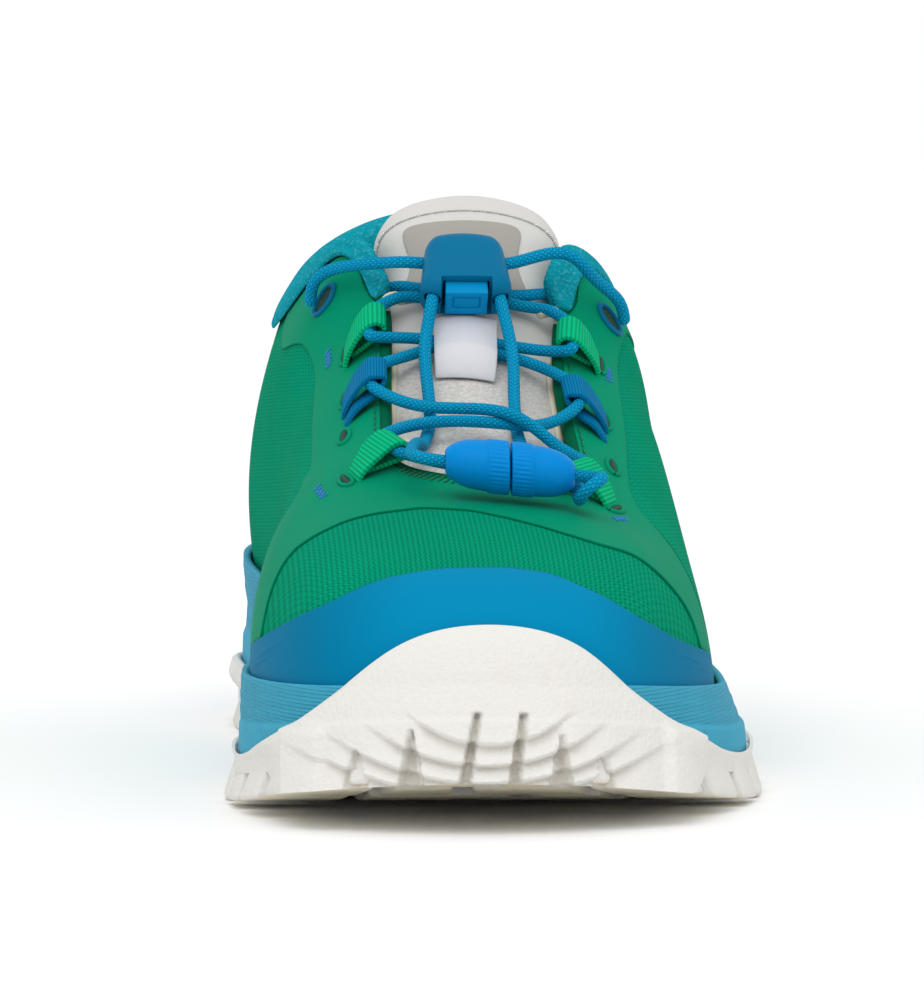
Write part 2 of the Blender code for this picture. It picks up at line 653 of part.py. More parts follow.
def tongue(u, v, lift):
    e = 0.02
    across = tongue_face(min(u + e, 1.0), v) - tongue_face(max(u - e, -1.0), v)
    along = tongue_face(u, min(v + e, 1.0)) - tongue_face(u, max(v - e, 0.0))
    normal = np.cross(across, along)
    return tongue_face(u, v) + lift * normal / np.linalg.norm(normal)


def slab(name, face, span, lifts, columns, rows, paint):
    """A layer over a face between two lifts, closed all round."""
    u0, u1, v0, v1 = span
    loop = 2 * columns + 2

    def place(p, q):
        k = round(p * loop) % loop
        upper = k <= columns
        w = k / columns if upper else (loop - 1 - k) / columns
        u = u0 + w * (u1 - u0)
        v = v0 + q * (v1 - v0)
        return face(u, v, lifts(w, q)[0 if upper else 1])
    return add_object(name, shaped_grid(place, loop, rows, caps=True), paint)


def build_tongue(paint, plate_paint, keeper_paint):
    def body(w, q):
        return 0.0, -TONGUE_THICK * (1.0 - 0.6 * abs(2.0 * w - 1.0) ** 4) * (1.0 - 0.4 * q ** 6)

    def thin(w, q):
        return GAP + 0.9, GAP + 0.3

    def arch(w, q):
        rise = GAP + 0.2 + KEEPER_ARCH * min(1.0, 4.0 * min(q, 1.0 - q))
        return rise + 0.8, rise
    slab("tongue", tongue, (-1.0, 1.0, 0.0, 1.0), body, 8, 14, paint)
    slab("tongue_plate", tongue, PLATE_SPAN, thin, 4, 3, plate_paint)
    slab("lace_keeper", tongue, KEEPER_SPAN, arch, 3, 8, keeper_paint)


def throat_point(s, inward, lift, along):
    """Point near the throat's edge: past the edge, above the film, up the edge."""
    up = 1.0 if s > 0.0 else -1.0
    pace = np.linalg.norm(rib(s + 0.1, 1.0) - rib(s - 0.1, 1.0)) / 0.2
    a, b, c, d = section(s)
    share = 1.0 + inward / (3.0 * np.linalg.norm(d - c))
    return skin(s + up * along / pace, share, LAYER + FILM_SKIN + GAP + lift)


def build_loop(name, s, width, paint):
    """A folded webbing loop that lies on the film with its eye at the throat."""
    count = len(LOOP_OUTER)
    ring = ((LOOP_OUTER, -0.5), (LOOP_OUTER, 0.5), (LOOP_INNER, 0.5), (LOOP_INNER, -0.5))

    def place(u, v):
        line, half = ring[round(v * 4) % 4]
        inward, lift = line[round(u * count) % count]
        return throat_point(s, inward, lift, half * width)
    add_object(name, shaped_grid(place, count, 4), paint)


def build_slot(name, s, paint):
    """Oval rim of a slot eyelet on the film."""
    pace = np.linalg.norm(rib(s + 0.1, SLOT_SHARE) - rib(s - 0.1, SLOT_SHARE)) / 0.2
    rise = np.linalg.norm(rib(s, SLOT_SHARE + 0.02) - rib(s, SLOT_SHARE - 0.02)) / 0.04
    lift = LAYER + FILM_SKIN + GAP + SLOT_ROUND

    def place(u, v):
        turn = 2.0 * math.pi * u
        roll = 2.0 * math.pi * v
        reach = SLOT_ROUND * math.cos(roll)
        along = (SLOT_LONG + reach) * math.cos(turn)
        across = (SLOT_WIDE + reach) * math.sin(turn)
        return skin(s + across / pace, SLOT_SHARE + along / rise, lift + SLOT_ROUND * math.sin(roll))
    add_object(name, shaped_grid(place, 10, 4), paint)


def tube(name, points, count, paint, home=part):
    """A round cord along a smooth curve through its route, as a mesh."""
    route = open_curve(points)
    fine = np.array([route(k / 200) for k in range(201)])
    length = np.concatenate(([0.0], np.cumsum(np.linalg.norm(np.diff(fine, axis=0), axis=1))))
    at = np.interp(np.linspace(0.0, length[-1], count), length, np.linspace(0.0, 1.0, 201))
    curve = bpy.data.curves.new(name, "CURVE")
    curve.dimensions = "3D"
    curve.bevel_depth = 0.5 * LACE * MM
    curve.bevel_resolution = 2
    curve.use_fill_caps = True
    spline = curve.splines.new("POLY")
    spline.points.add(count - 1)
    for point, u in zip(spline.points, at):
        point.co = (*(route(u) * MM), 1.0)
    holder = bpy.data.objects.new(name + "_line", curve)
    helpers.objects.link(holder)
    graph = bpy.context.evaluated_depsgraph_get()
    graph.update()
    mesh = bpy.data.meshes.new_from_object(holder.evaluated_get(graph))
    bm = bmesh.new()
    bm.from_mesh(mesh)
    bmesh.ops.remove_doubles(bm, verts=bm.verts[:], dist=0.00001)
    bpy.data.objects.remove(holder, do_unlink=True)
    bpy.data.meshes.remove(mesh)
    made = add_object(name, bm, paint, home)
    return made


def lace_half(side):
    """Route of one half of the lace from the middle of the bottom bar to the collar's gap."""
    low = side * LOOP_ROWS[2][1]
    blue = -side * LOOP_ROWS[1][1]
    top = side * LOOP_ROWS[0][1]

    def eye(s, along):
        return throat_point(s, LOOP_HOLE[0], LOOP_HOLE[1], along)
    start = 0.5 * (eye(LOOP_ROWS[2][1], -6.5) + eye(-LOOP_ROWS[2][1], -6.5)) + np.array((0.0, 2.0, -0.6))
    return [
        start,
        0.5 * (start + eye(low, -6.5)) + np.array((0.0, 0.0, -0.2)),
        eye(low, -5.0),
        eye(low, 0.0),
        eye(low, 5.0),
        tongue(side * -0.18 + 0.03, 0.262, 4.7),
        tongue(0.05, 0.298, 4.8),
        tongue(side * 0.19 + 0.02, 0.362, 4.5),
        eye(blue, -5.0),
        eye(blue, 0.0),
        eye(blue, 5.0),
        tongue(side * 0.18, 0.512, 2.7),
        tongue(-0.03, 0.530, 1.8),
        tongue(side * -0.20, 0.541, 3.2),
        eye(top, -6.2),
        eye(top, 0.0),
        eye(top, 5.5),
        tongue(side * -0.25, 0.656, 5.2),
        tongue(side * -0.15, 0.672, 3.0),
        tongue(-0.02, 0.685, 2.9),
        tongue(side * 0.16, 0.700, 2.9),
        tongue(side * 0.32, 0.726, 2.3),
    ]


def build_lace(paint):
    first = tube("lace_crossings", lace_half(1.0), 34, paint)
    second = tube("lace_other_half", lace_half(-1.0), 34, paint, helpers)
    finish(first, "BOOLEAN", operation="UNION", solver="EXACT", object=second)
    bpy.data.objects.remove(second, do_unlink=True)


def lock_frame():
    """Seat of the cord lock on the tongue: origin, right, up and outward directions."""
    u = -0.03
    base = tongue_face(u, LOCK_SEAT)
    out = tongue(u, LOCK_SEAT, 1.0) - base
    right = np.array((1.0, 0.0, 0.0))
    right = right - out * np.dot(right, out)
    right = right / np.linalg.norm(right)
    return base + (LOCK_RISE + 0.5 * LOCK_THICK) * out, right, np.cross(out, right), out


LOCK_AT, LOCK_RIGHT, LOCK_UP, LOCK_OUT = lock_frame()


def on_lock(x, y, z):
    return LOCK_AT + x * LOCK_RIGHT + y * LOCK_UP + z * LOCK_OUT


def lock_block(name, low, high, round_edge, paint, taper=1.0, home=part):
    """A block on the cord lock's frame, narrower at its top, with rounded edges."""
    bm = bmesh.new()
    bmesh.ops.create_cube(bm, size=1.0)
    for vert in bm.verts:
        share = [c + 0.5 for c in vert.co]
        x, y, z = (a + (b - a) * w for a, b, w in zip(low, high, share))
        x = x * (taper if share[1] > 0.5 else 1.0)
        vert.co = (x * MM, y * MM, z * MM)
    made = add_object(name, bm, paint, home)
    if round_edge:
        finish(made, "BEVEL", width=round_edge * MM, segments=2, limit_method="NONE")
    return made


def set_on_lock(made):
    for vert in made.data.vertices:
        vert.co = on_lock(*(c / MM for c in vert.co)) * MM


def lock_hole(name, low, high, paint):
    """A round cord hole between two points of the lock's frame."""
    bm = bmesh.new()
    bmesh.ops.create_cone(bm, cap_ends=True, segments=10, radius1=1.7 * MM, radius2=1.7 * MM, depth=1.0)
    low = np.array(low)
    high = np.array(high)
    axis = (high - low) / np.linalg.norm(high - low)
    other = np.cross(axis, (0.0, 0.0, 1.0))
    third = np.cross(axis, other)
    for vert in bm.verts:
        x, y, z = vert.co
        p = low + (z + 0.5) * (high - low) + (x * other + y * third) / MM
        vert.co = p * MM
    return add_object(name, bm, paint, helpers)


def build_lock(paint, dark):
    """Housing with cord holes and a pocket in its lower end for the button."""
    half = 0.5 * LOCK_WIDE
    tall = 0.5 * LOCK_TALL
    thick = 0.5 * LOCK_THICK
    wide = 0.5 * BUTTON_WIDE
    deep = 0.5 * BUTTON_TALL
    housing = lock_block("lock_housing", (-half, -tall, -thick), (half, tall, thick), 2.4, paint, 0.80)
    low = (-wide - GAP, -tall - 3.0, BUTTON_UP - deep - GAP)
    high = (wide + GAP, BUTTON_FLOOR, BUTTON_UP + deep + GAP)
    cutters = [lock_block("pocket", low, high, 0.0, dark, 1.0, helpers)]
    for k in (-1.0, 1.0):
        cutters.append(lock_hole("end_hole", (k * 6.6, -tall - 2.0, 0.8), (k * 6.6, -2.6, 0.8), dark))
        cutters.append(lock_hole("side_hole", (k * (half + 2.0), 3.9, 0.2), (k * 3.4, 3.9, 0.2), dark))
    for cutter in cutters:
        finish(housing, "BOOLEAN", operation="DIFFERENCE", solver="EXACT", object=cutter)
    for cutter in cutters:
        bpy.data.objects.remove(cutter, do_unlink=True)
    low = (-wide, -tall - BUTTON_PROUD, BUTTON_UP - deep)
    high = (wide, BUTTON_FLOOR - GAP - BUTTON_TRAVEL, BUTTON_UP + deep)
    button = lock_block("lock_button", low, high, 0.5, dark)
    set_on_lock(housing)
    set_on_lock(button)


def barrel_point(x, radius, turn):
    tilt = math.radians(BARREL_TILT)
    level = x * math.cos(tilt)
    drop = -x * math.sin(tilt)
    round_y = radius * math.cos(turn)
    round_z = radius * math.sin(turn)
    return np.array(BARREL_AT) + np.array((level, round_y, drop + round_z))


# Half of the barrel: along, share of the radius
BARREL_HALF = [(0.2, 0.92), (0.2, 1.0), (4.0, 1.0), (4.4, 0.94), (7.6, 0.89), (10.4, 0.72),
               (11.6, 0.54), (12.0, 0.36)]


def build_barrel(name, way, paint):
    count = len(BARREL_HALF) - 1

    def place(u, v):
        x, radius = BARREL_HALF[round(v * count)]
        return barrel_point(way * x, radius * BARREL_ROUND, 2.0 * math.pi * u)
    add_object(name, shaped_grid(place, 10, count, caps=True), paint)


def build_cords(paint):
    """Free runs of the lace: from the slots to the cord lock, and from it to the barrel."""
    medial, lateral = SLOT_ROWS
    tube("cord_slot_medial", [
        skin(medial, SLOT_SHARE - 0.02, LAYER + FILM_SKIN + GAP + 1.3),
        skin(medial, SLOT_SHARE + 0.03, 4.4),
        skin(medial - 0.15, 0.92, 4.7),
        skin(medial - 0.5, 0.985, 5.2),
        on_lock(-13.0, 4.4, 0.0),
        on_lock(-8.0, 3.95, 0.2),
        on_lock(-4.2, 3.9, 0.2),
    ], 11, paint)
    tube("cord_slot_lateral", [
        skin(lateral, SLOT_SHARE - 0.02, LAYER + FILM_SKIN + GAP + 1.3),
        skin(lateral, SLOT_SHARE + 0.04, 4.7),
        skin(lateral + 0.15, 0.965, 6.2),
        (21.0, 18.0, 96.6),
        (16.6, 17.4, 98.4),
        on_lock(12.0, 5.2, 0.2),
        on_lock(8.0, 3.95, 0.2),
        on_lock(4.2, 3.9, 0.2),
    ], 11, paint)
    tube("cord_tail_medial", [
        on_lock(-6.6, -3.4, 0.8),
        on_lock(-6.6, -7.5, 0.8),
        tongue(-0.155, 0.50, 6.0),
        tongue(-0.155, 0.435, 3.9),
        tongue(-0.155, 0.37, 1.85),
        tongue(-0.165, 0.275, 1.75),
        tongue(-0.19, 0.21, 3.4),
        barrel_point(-16.4, 18.5, 0.10),
        barrel_point(-18.0, 7.0, 0.12),
        barrel_point(-17.2, 2.0, 0.15),
        barrel_point(-15.0, 0.2, 0.2),
        barrel_point(-12.8, 0.0, 0.0),
    ], 20, paint)
    tube("cord_tail_lateral", [
        on_lock(6.6, -3.4, 0.8),
        on_lock(6.6, -7.5, 0.8),
        tongue(0.105, 0.50, 6.0),
        tongue(0.113, 0.435, 3.9),
        tongue(0.115, 0.37, 1.9),
        tongue(0.115, 0.29, 1.75),
        tongue(0.13, 0.215, 2.8),
        barrel_point(6.8, 17.5, 0.13),
        barrel_point(11.9, 6.8, 0.0),
        barrel_point(12.9, 4.1, -1.55),
        barrel_point(13.4, 5.5, -2.55),
        barrel_point(15.7, 4.9, -3.0),
        barrel_point(17.0, 2.3, -3.2),
        barrel_point(15.2, 0.0, 0.0),
        barrel_point(12.8, 0.0, 0.0),
    ], 25, paint)


# Paints
start_scene()
white_rubber = material("white_rubber", (0.85, 0.83, 0.79), 0.6)
blue_foam = material("blue_foam", (0.07, 0.36, 0.55), 0.6)
green_knit = material("green_knit", (0.0, 0.25, 0.12), 0.75)
green_film = material("green_film", (0.0, 0.30, 0.14), 0.45)
cap_blue = material("cap_blue", (0.0, 0.23, 0.50), 0.45)
teal_knit = material("teal_knit", (0.02, 0.38, 0.48), 0.85)
grey_foam = material("grey_foam", (0.35, 0.36, 0.38), 0.8)
pale_knit = material("pale_knit", (0.69, 0.68, 0.65), 0.8)
plate_grey = material("plate_grey", (0.38, 0.36, 0.33), 0.6)
keeper_white = material("keeper_white", (0.86, 0.86, 0.88), 0.4)
web_green = material("web_green", (0.0, 0.45, 0.19), 0.7)
web_blue = material("web_blue", (0.0, 0.18, 0.43), 0.7)
lace_blue = material("lace_blue", (0.003, 0.23, 0.56), 0.7)
lock_blue = material("lock_blue", (0.0, 0.18, 0.40), 0.4)
button_dark = material("button_dark", (0.0, 0.07, 0.20), 0.4)
barrel_blue = material("barrel_blue", (0.0, 0.14, 0.55), 0.4)

# Pieces
build_upper(green_knit)
build_midsole(blue_foam)
build_insole(grey_foam)
build_outsole(white_rubber)
build_toe_cap(cap_blue)
build_saddle(green_film)
build_cuff(teal_knit)
build_tongue(pale_knit, plate_grey, keeper_white)
for place_name, way in (("medial", 1.0), ("lateral", -1.0)):
    for level, (hue, row, width) in zip(("top", "middle", "low"), LOOP_ROWS):
        webbing = web_green if hue == "green" else web_blue
        build_loop("loop_%s_%s" % (level, place_name), way * row, width, webbing)
    build_slot("slot_" + place_name, SLOT_ROWS[0 if way > 0.0 else 1], lock_blue)
build_lace(lace_blue)
build_lock(lock_blue, button_dark)
build_barrel("barrel_medial", -1.0, barrel_blue)
build_barrel("barrel_lateral", 1.0, barrel_blue)
build_cords(lace_blue)
for shell in part.objects:
    finish(shell, "TRIANGULATE", quad_method="BEAUTY", ngon_method="BEAUTY")
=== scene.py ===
import math

import bpy
import numpy as np
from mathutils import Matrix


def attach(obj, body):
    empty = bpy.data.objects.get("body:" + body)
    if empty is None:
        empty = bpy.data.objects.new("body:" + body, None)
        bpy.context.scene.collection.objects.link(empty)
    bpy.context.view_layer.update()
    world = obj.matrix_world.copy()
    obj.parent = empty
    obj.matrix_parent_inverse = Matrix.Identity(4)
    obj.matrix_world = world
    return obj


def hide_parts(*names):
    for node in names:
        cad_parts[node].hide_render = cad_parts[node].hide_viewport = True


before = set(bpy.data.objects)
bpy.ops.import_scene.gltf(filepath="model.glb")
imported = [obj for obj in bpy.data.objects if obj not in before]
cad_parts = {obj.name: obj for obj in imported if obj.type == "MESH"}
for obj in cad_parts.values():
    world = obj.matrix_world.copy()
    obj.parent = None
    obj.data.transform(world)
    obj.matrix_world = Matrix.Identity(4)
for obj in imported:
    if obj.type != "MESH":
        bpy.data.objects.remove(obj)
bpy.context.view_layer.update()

MM = 0.001
TAU = 2.0 * math.pi

# Thicknesses and clearances
WALL = 2.0
GAP = 0.35
LAYER = 0.75
FILM_SKIN = 0.6
FILM_FACE = 0.42
TONGUE_THICK = 3.4
INSOLE_THICK = 4.0
RIM_OUT = 2.0
ON_FILM = LAYER + FILM_SKIN + GAP

# Sole build-up
LUG = 4.8
PLATE = 2.2
TOE_SPRING = 10.5
SPRING_FROM = -54.0
SPRING_RUN = 85.0
HEEL_BEVEL = 3.0
BEVEL_FROM = 112.0
BEVEL_RUN = 27.0
FLOOR_BALL = 14.0
FLOOR_HEEL = 24.0
RAMP_FROM = -70.0
RAMP_RUN = 140.0
FLOOR_SPRING = 0.8

# Bottom edge of the upper from toe to heel: x, y medial, x, y lateral
FOOT = [
    (-6.0, -132.0, -6.0, -132.0), (-19.5, -129.3, 7.5, -128.8), (-32.5, -119.0, 20.5, -118.0),
    (-40.5, -101.0, 31.0, -101.0), (-44.2, -80.0, 38.2, -80.0), (-44.4, -58.0, 41.8, -56.0),
    (-41.2, -34.0, 42.0, -30.0), (-36.8, -8.0, 39.5, -4.0), (-34.6, 18.0, 36.5, 20.0),
    (-34.8, 33.0, 35.0, 34.0), (-35.6, 46.0, 33.8, 47.0), (-36.8, 59.0, 32.8, 60.0),
    (-38.2, 73.0, 31.6, 74.0), (-39.0, 88.0, 30.2, 88.0), (-37.6, 104.0, 28.2, 104.0),
    (-31.0, 119.0, 21.6, 119.0), (-18.6, 129.8, 9.2, 129.8), (-4.7, 133.5, -4.7, 133.5),
]

# Top edge of the upper, throat then collar: x, y, z medial, x, y, z lateral
TOP = [
    (-1.0, -53.0, 57.0, -1.0, -53.0, 57.0), (-5.2, -52.6, 57.8, 3.0, -52.8, 56.4),
    (-9.6, -51.6, 58.5, 7.2, -52.0, 55.8), (-13.8, -49.4, 59.2, 11.2, -50.2, 55.4),
    (-17.2, -45.4, 60.4, 14.6, -46.8, 55.6), (-18.8, -38.0, 62.6, 16.6, -40.0, 57.4),
    (-18.8, -25.0, 66.8, 16.8, -27.0, 62.6), (-18.2, -8.0, 73.6, 16.0, -9.0, 70.2),
    (-17.4, 9.0, 81.8, 16.2, 9.0, 79.0), (-17.8, 21.0, 89.4, 17.8, 21.0, 86.8),
    (-22.6, 30.0, 97.2, 21.8, 30.0, 94.2), (-28.6, 41.0, 94.6, 27.6, 41.0, 90.8),
    (-33.6, 57.0, 87.2, 30.4, 57.0, 83.4), (-35.6, 76.0, 83.4, 29.8, 76.0, 79.4),
    (-32.6, 97.0, 87.0, 25.2, 97.0, 83.6), (-26.2, 112.6, 93.4, 17.2, 112.6, 91.6),
    (-15.6, 121.8, 98.2, 6.4, 121.8, 97.6), (-4.7, 124.6, 99.6, -4.7, 124.6, 99.6),
]

# Handles of each section: lean and rise at the bottom edge, reach and drop at the top, medial then lateral
BULGE = [
    (3.0, 28.0, 52.0, 8.0, 3.0, 28.0, 52.0, 8.0), (3.0, 28.0, 47.0, 8.0, 2.5, 27.0, 46.0, 8.0),
    (2.5, 27.0, 38.0, 8.0, 1.0, 26.0, 36.0, 8.0), (2.0, 26.0, 28.0, 6.0, -0.5, 24.0, 26.0, 7.0),
    (2.0, 26.0, 23.0, 5.0, -1.5, 22.0, 22.0, 7.0), (2.5, 27.0, 21.0, 5.0, -1.5, 22.0, 20.0, 7.0),
    (3.5, 28.0, 19.0, 6.0, 0.0, 25.0, 19.0, 7.0), (5.0, 30.0, 18.0, 7.0, 3.0, 30.0, 21.0, 7.0),
    (7.0, 33.0, 17.0, 9.0, 6.0, 34.0, 21.0, 8.0), (7.5, 34.0, 15.0, 11.0, 7.0, 34.0, 19.0, 12.0),
    (7.5, 32.0, 12.0, 16.0, 7.0, 32.0, 16.0, 16.0), (7.0, 29.0, 9.5, 20.0, 6.5, 29.0, 11.5, 20.0),
    (6.5, 25.0, 7.0, 20.0, 6.0, 24.0, 7.5, 20.0), (5.5, 23.0, 6.0, 18.0, 5.0, 22.0, 6.0, 18.0),
    (5.0, 23.0, 5.0, 20.0, 5.0, 22.0, 5.0, 20.0), (4.5, 24.0, 3.5, 24.0, 4.5, 24.0, 3.5, 24.0),
    (4.0, 26.0, 1.5, 28.0, 4.0, 26.0, 1.5, 28.0), (4.0, 26.0, 0.5, 30.0, 4.0, 26.0, 0.5, 30.0),
]

# Sole sides: midsole's rim, outsole's wall, reach of the midsole's foot and of the lugs
SOLE = [
    (27.0, 37.0, 4.6, 7.0, 27.0, 37.0, 4.6, 7.0), (26.4, 33.0, 4.5, 7.0, 26.2, 33.2, 4.6, 7.2),
    (25.4, 21.2, 4.2, 7.0, 25.0, 22.4, 4.8, 7.6), (24.6, 13.4, 3.6, 6.6, 23.4, 13.6, 5.0, 8.0),
    (24.0, 9.6, 3.2, 6.0, 22.0, 9.6, 5.4, 8.6), (23.6, 9.8, 3.0, 6.0, 20.8, 9.6, 5.6, 8.7),
    (24.0, 9.8, 3.0, 5.6, 21.0, 9.8, 5.4, 8.6), (25.6, 9.4, 3.0, 5.0, 22.8, 9.4, 4.6, 7.4),
    (28.0, 9.4, 3.0, 4.6, 25.8, 9.4, 4.0, 6.2), (29.6, 9.8, 3.2, 4.8, 28.0, 9.8, 4.0, 6.0),
    (31.2, 10.8, 3.6, 5.2, 30.0, 10.8, 4.0, 6.0), (32.8, 12.2, 3.8, 5.6, 31.8, 12.2, 4.2, 6.2),
    (34.0, 13.6, 4.0, 6.0, 33.4, 13.6, 4.4, 6.4), (35.0, 14.2, 4.2, 6.4, 34.6, 14.2, 4.6, 6.8),
    (36.0, 13.8, 4.4, 6.6, 35.8, 13.8, 4.6, 6.8), (37.2, 12.6, 4.6, 6.8, 37.2, 12.6, 4.6, 6.8),
    (38.4, 13.2, 4.3, 6.2, 38.4, 13.2, 4.3, 6.2), (39.0, 14.4, 4.2, 6.0, 39.0, 14.4, 4.2, 6.0),
]

# Height of the toe cap's upper edge, by row from lateral to medial
CAP_EDGE = [
    (-6.0, 22.6), (-5.0, 24.6), (-4.0, 27.6), (-3.0, 31.0), (-2.0, 36.0), (-1.0, 42.0), (-0.5, 44.6),
    (0.0, 45.4), (0.4, 45.3), (1.0, 43.9), (2.0, 38.0), (3.0, 33.4), (4.0, 29.6), (5.0, 26.8),
    (6.0, 24.6),
]
CAP_ENDS = 4.25

# Share at which the film round the throat begins, by row from lateral to medial
FILM_EDGE = [
    (-12.0, 0.95), (-11.8, 0.89), (-11.3, 0.82), (-10.6, 0.78), (-9.6, 0.765), (-8.4, 0.775),
    (-7.0, 0.775), (-5.6, 0.80), (-5.0, 0.77), (-4.75, 0.66), (-4.6, 0.40), (-4.5, 0.10), (-4.1, 0.10),
    (-3.95, 0.20), (-3.75, 0.31), (-3.4, 0.392), (-3.0, 0.445), (-2.4, 0.508), (-1.82, 0.573),
    (-1.22, 0.625), (-0.85, 0.685), (-0.5, 0.75), (-0.1, 0.80), (0.45, 0.83), (1.03, 0.823),
    (1.35, 0.798), (1.7, 0.762), (1.95, 0.718), (2.22, 0.65), (2.62, 0.578), (3.05, 0.52), (3.35, 0.455),
    (3.58, 0.36), (3.75, 0.24), (3.9, 0.10), (5.1, 0.10), (5.3, 0.45), (5.4, 0.62), (5.55, 0.655),
    (6.0, 0.66), (6.05, 0.69), (7.4, 0.67), (9.0, 0.675), (10.2, 0.70), (10.9, 0.74), (11.5, 0.80),
    (11.9, 0.88), (12.1, 0.95),
]
# Share at which it ends below the collar's lip
FILM_TOP = [
    (-12.0, 0.97), (-10.8, 0.965), (-10.5, 0.985), (-10.2, 0.995), (-9.8, 0.985), (-9.3, 0.965),
    (-8.9, 0.985), (-8.6, 0.995), (8.6, 0.995), (8.9, 0.985), (9.3, 0.965), (9.8, 0.985), (10.2, 0.995),
    (10.5, 0.985), (10.8, 0.965), (12.1, 0.97),
]

# Collar: reach of its lip down the outside of the upper, by row from its front end
LIP = [
    (8.8, 0.8), (9.2, 1.4), (9.6, 1.1), (10.0, 0.7), (10.3, 0.5), (10.55, 0.9), (10.8, 1.5), (11.2, 1.9),
    (12.0, 2.0), (14.0, 2.2), (17.0, 2.4),
]
COLLAR_FROM = 8.95
COLLAR_FADE = 2.2
# Outline of its pad, out from the upper's face and past its edge: lip, crest, inside
PAD_LIP = [(0.76, -1.0), (1.25, -0.93), (1.55, -0.6), (1.6, -0.1)]
PAD_CREST = [(1.35, 1.2), (0.7, 2.9), (-0.9, 4.1), (-2.9, 4.5), (-5.0, 3.7)]
PAD_INNER = [
    (-6.6, 0.5), (-6.4, -6.0), (-5.0, -12.0), (-3.0, -17.0), (-2.4, -17.2), (-2.25, -12.0), (-2.2, -3.0),
]

# Tongue: shares of its hidden rows, rows beside the throat, and its free top
TONGUE_LOW = [
    (0.74, 0.78, 0.82, 0.80, 0.82, 0.78, 0.74),
    (0.82, 0.88, 0.93, 0.92, 0.93, 0.88, 0.82),
]
TONGUE_ROWS = (5.3, 6.0, 7.0, 8.0, 8.8)
TONGUE_CROWN = 3.2
TONGUE_CLEAR = 1.1
TONGUE_SINK = 1.7
TONGUE_TOP = [
    [(-16.4, 35.0, 88.0), (-15.6, 32.0, 91.0), (-11.0, 28.2, 94.2), (0.0, 26.6, 95.8),
     (11.0, 28.2, 93.8), (15.6, 32.0, 90.6), (16.4, 35.0, 87.6)],
    [(-18.2, 42.0, 96.6), (-17.2, 39.4, 99.4), (-12.5, 36.0, 102.4), (0.0, 34.4, 103.8),
     (12.5, 36.0, 102.0), (17.6, 39.4, 98.8), (18.6, 42.0, 96.0)],
    [(-15.5, 45.2, 103.4), (-13.4, 43.8, 106.0), (-8.4, 42.4, 108.4), (0.2, 41.6, 109.6),
     (8.8, 42.4, 108.2), (14.0, 43.8, 105.6), (16.0, 45.2, 103.0)],
]
KEEPER_SPAN = (-0.13, 0.07, 0.470, 0.612)
KEEPER_ARCH = 3.5
PATCH_SPAN = (-0.35, 0.27, 0.69, 0.888)

# Lace and its hardware; the loops by level, colour, row and width
LACE = 2.5
LOOP_ROWS = [("top", "green", 8.05, 8.4), ("middle", "blue", 6.85, 8.6), ("low", "green", 4.05, 8.0)]
# Section of a loop: past the throat's edge and above the film; a blue loop's hidden end slants away
LOOP_BAND = [
    (-9.2, -1.6), (-8.4, -0.5), (-6.4, 1.0), (-4.2, 2.5), (-2.3, 3.6), (-0.6, 4.2), (0.8, 3.7), (1.4, 2.4),
    (0.8, 1.2), (-0.8, 0.5), (-3.2, -0.1), (-7.2, -0.7),
]
LOOP_TAIL = [(-1.0, 0.7), (-3.0, 0.4), (-5.6, 0.0), (-8.4, -1.3)]
# Slits in the film: row and share; blue bar tacks: row, share and half length; slots for the lace
SLITS = [
    (8.25, 0.838), (7.1, 0.848), (6.15, 0.85), (4.05, 0.838), (-8.2, 0.855), (-6.95, 0.86), (-5.9, 0.862),
    (-3.95, 0.845),
]
TACKS = [
    (8.7, 0.752, 2.9), (4.3, 0.748, 4.6), (-8.1, 0.822, 2.9), (-3.2, 0.79, 4.0),
]
SLOT_ROWS = (10.0, -9.65)
SLOT_SHARE = 0.84
SLOT_LONG = 3.4
SLOT_WIDE = 2.0
LOCK_WIDE = 18.5
LOCK_TALL = 14.5
LOCK_THICK = 9.0
LOCK_SEAT = 0.655
LOCK_RISE = 4.7
LOCK_ROUND = 3.1
# Bores for the cord: radius, side and depth of the tails' bores, height and depth of the level ones
LOCK_BORE = 1.6
TAIL_BORE = (6.6, 0.8)
LEVEL_BORE = (3.9, 0.2)
BUTTON_WIDE = 8.2
BUTTON_TALL = 5.6
BUTTON_PROUD = 0.9
BUTTON_TRAVEL = 2.0
BUTTON_UP = 0.4
BUTTON_FLOOR = 1.4
BARREL_ROUND = 5.0
BARREL_AT = (2.3, -69.0, 61.2)
BARREL_TILT = 6.3
# Half of the barrel from its joint to its end: distance along it and share of its radius
BARREL_HALF = [
    (0.18, 0.55), (0.18, 0.93), (0.35, 1.0), (4.1, 1.0), (4.4, 0.95), (6.0, 0.935), (7.8, 0.895),
    (9.2, 0.82), (10.4, 0.71), (11.2, 0.60), (11.75, 0.50), (12.0, 0.42), (12.0, 0.30), (10.6, 0.27),
    (10.4, 0.0),
]
BARREL_RIBS = 36

# Midsole side from its foot to its rim: share of height, share of the flare, step
MID_SIDE = [
    (0.0, 1.0, -0.8), (0.07, 1.0, 0.0), (0.40, 0.86, 0.1), (0.46, 0.62, -0.2), (0.60, 0.46, 0.25),
    (0.64, 0.42, -0.35), (0.76, 0.28, 0.25), (0.80, 0.24, -0.35), (0.92, 0.08, 0.2), (1.0, 0.0, -0.5),
]

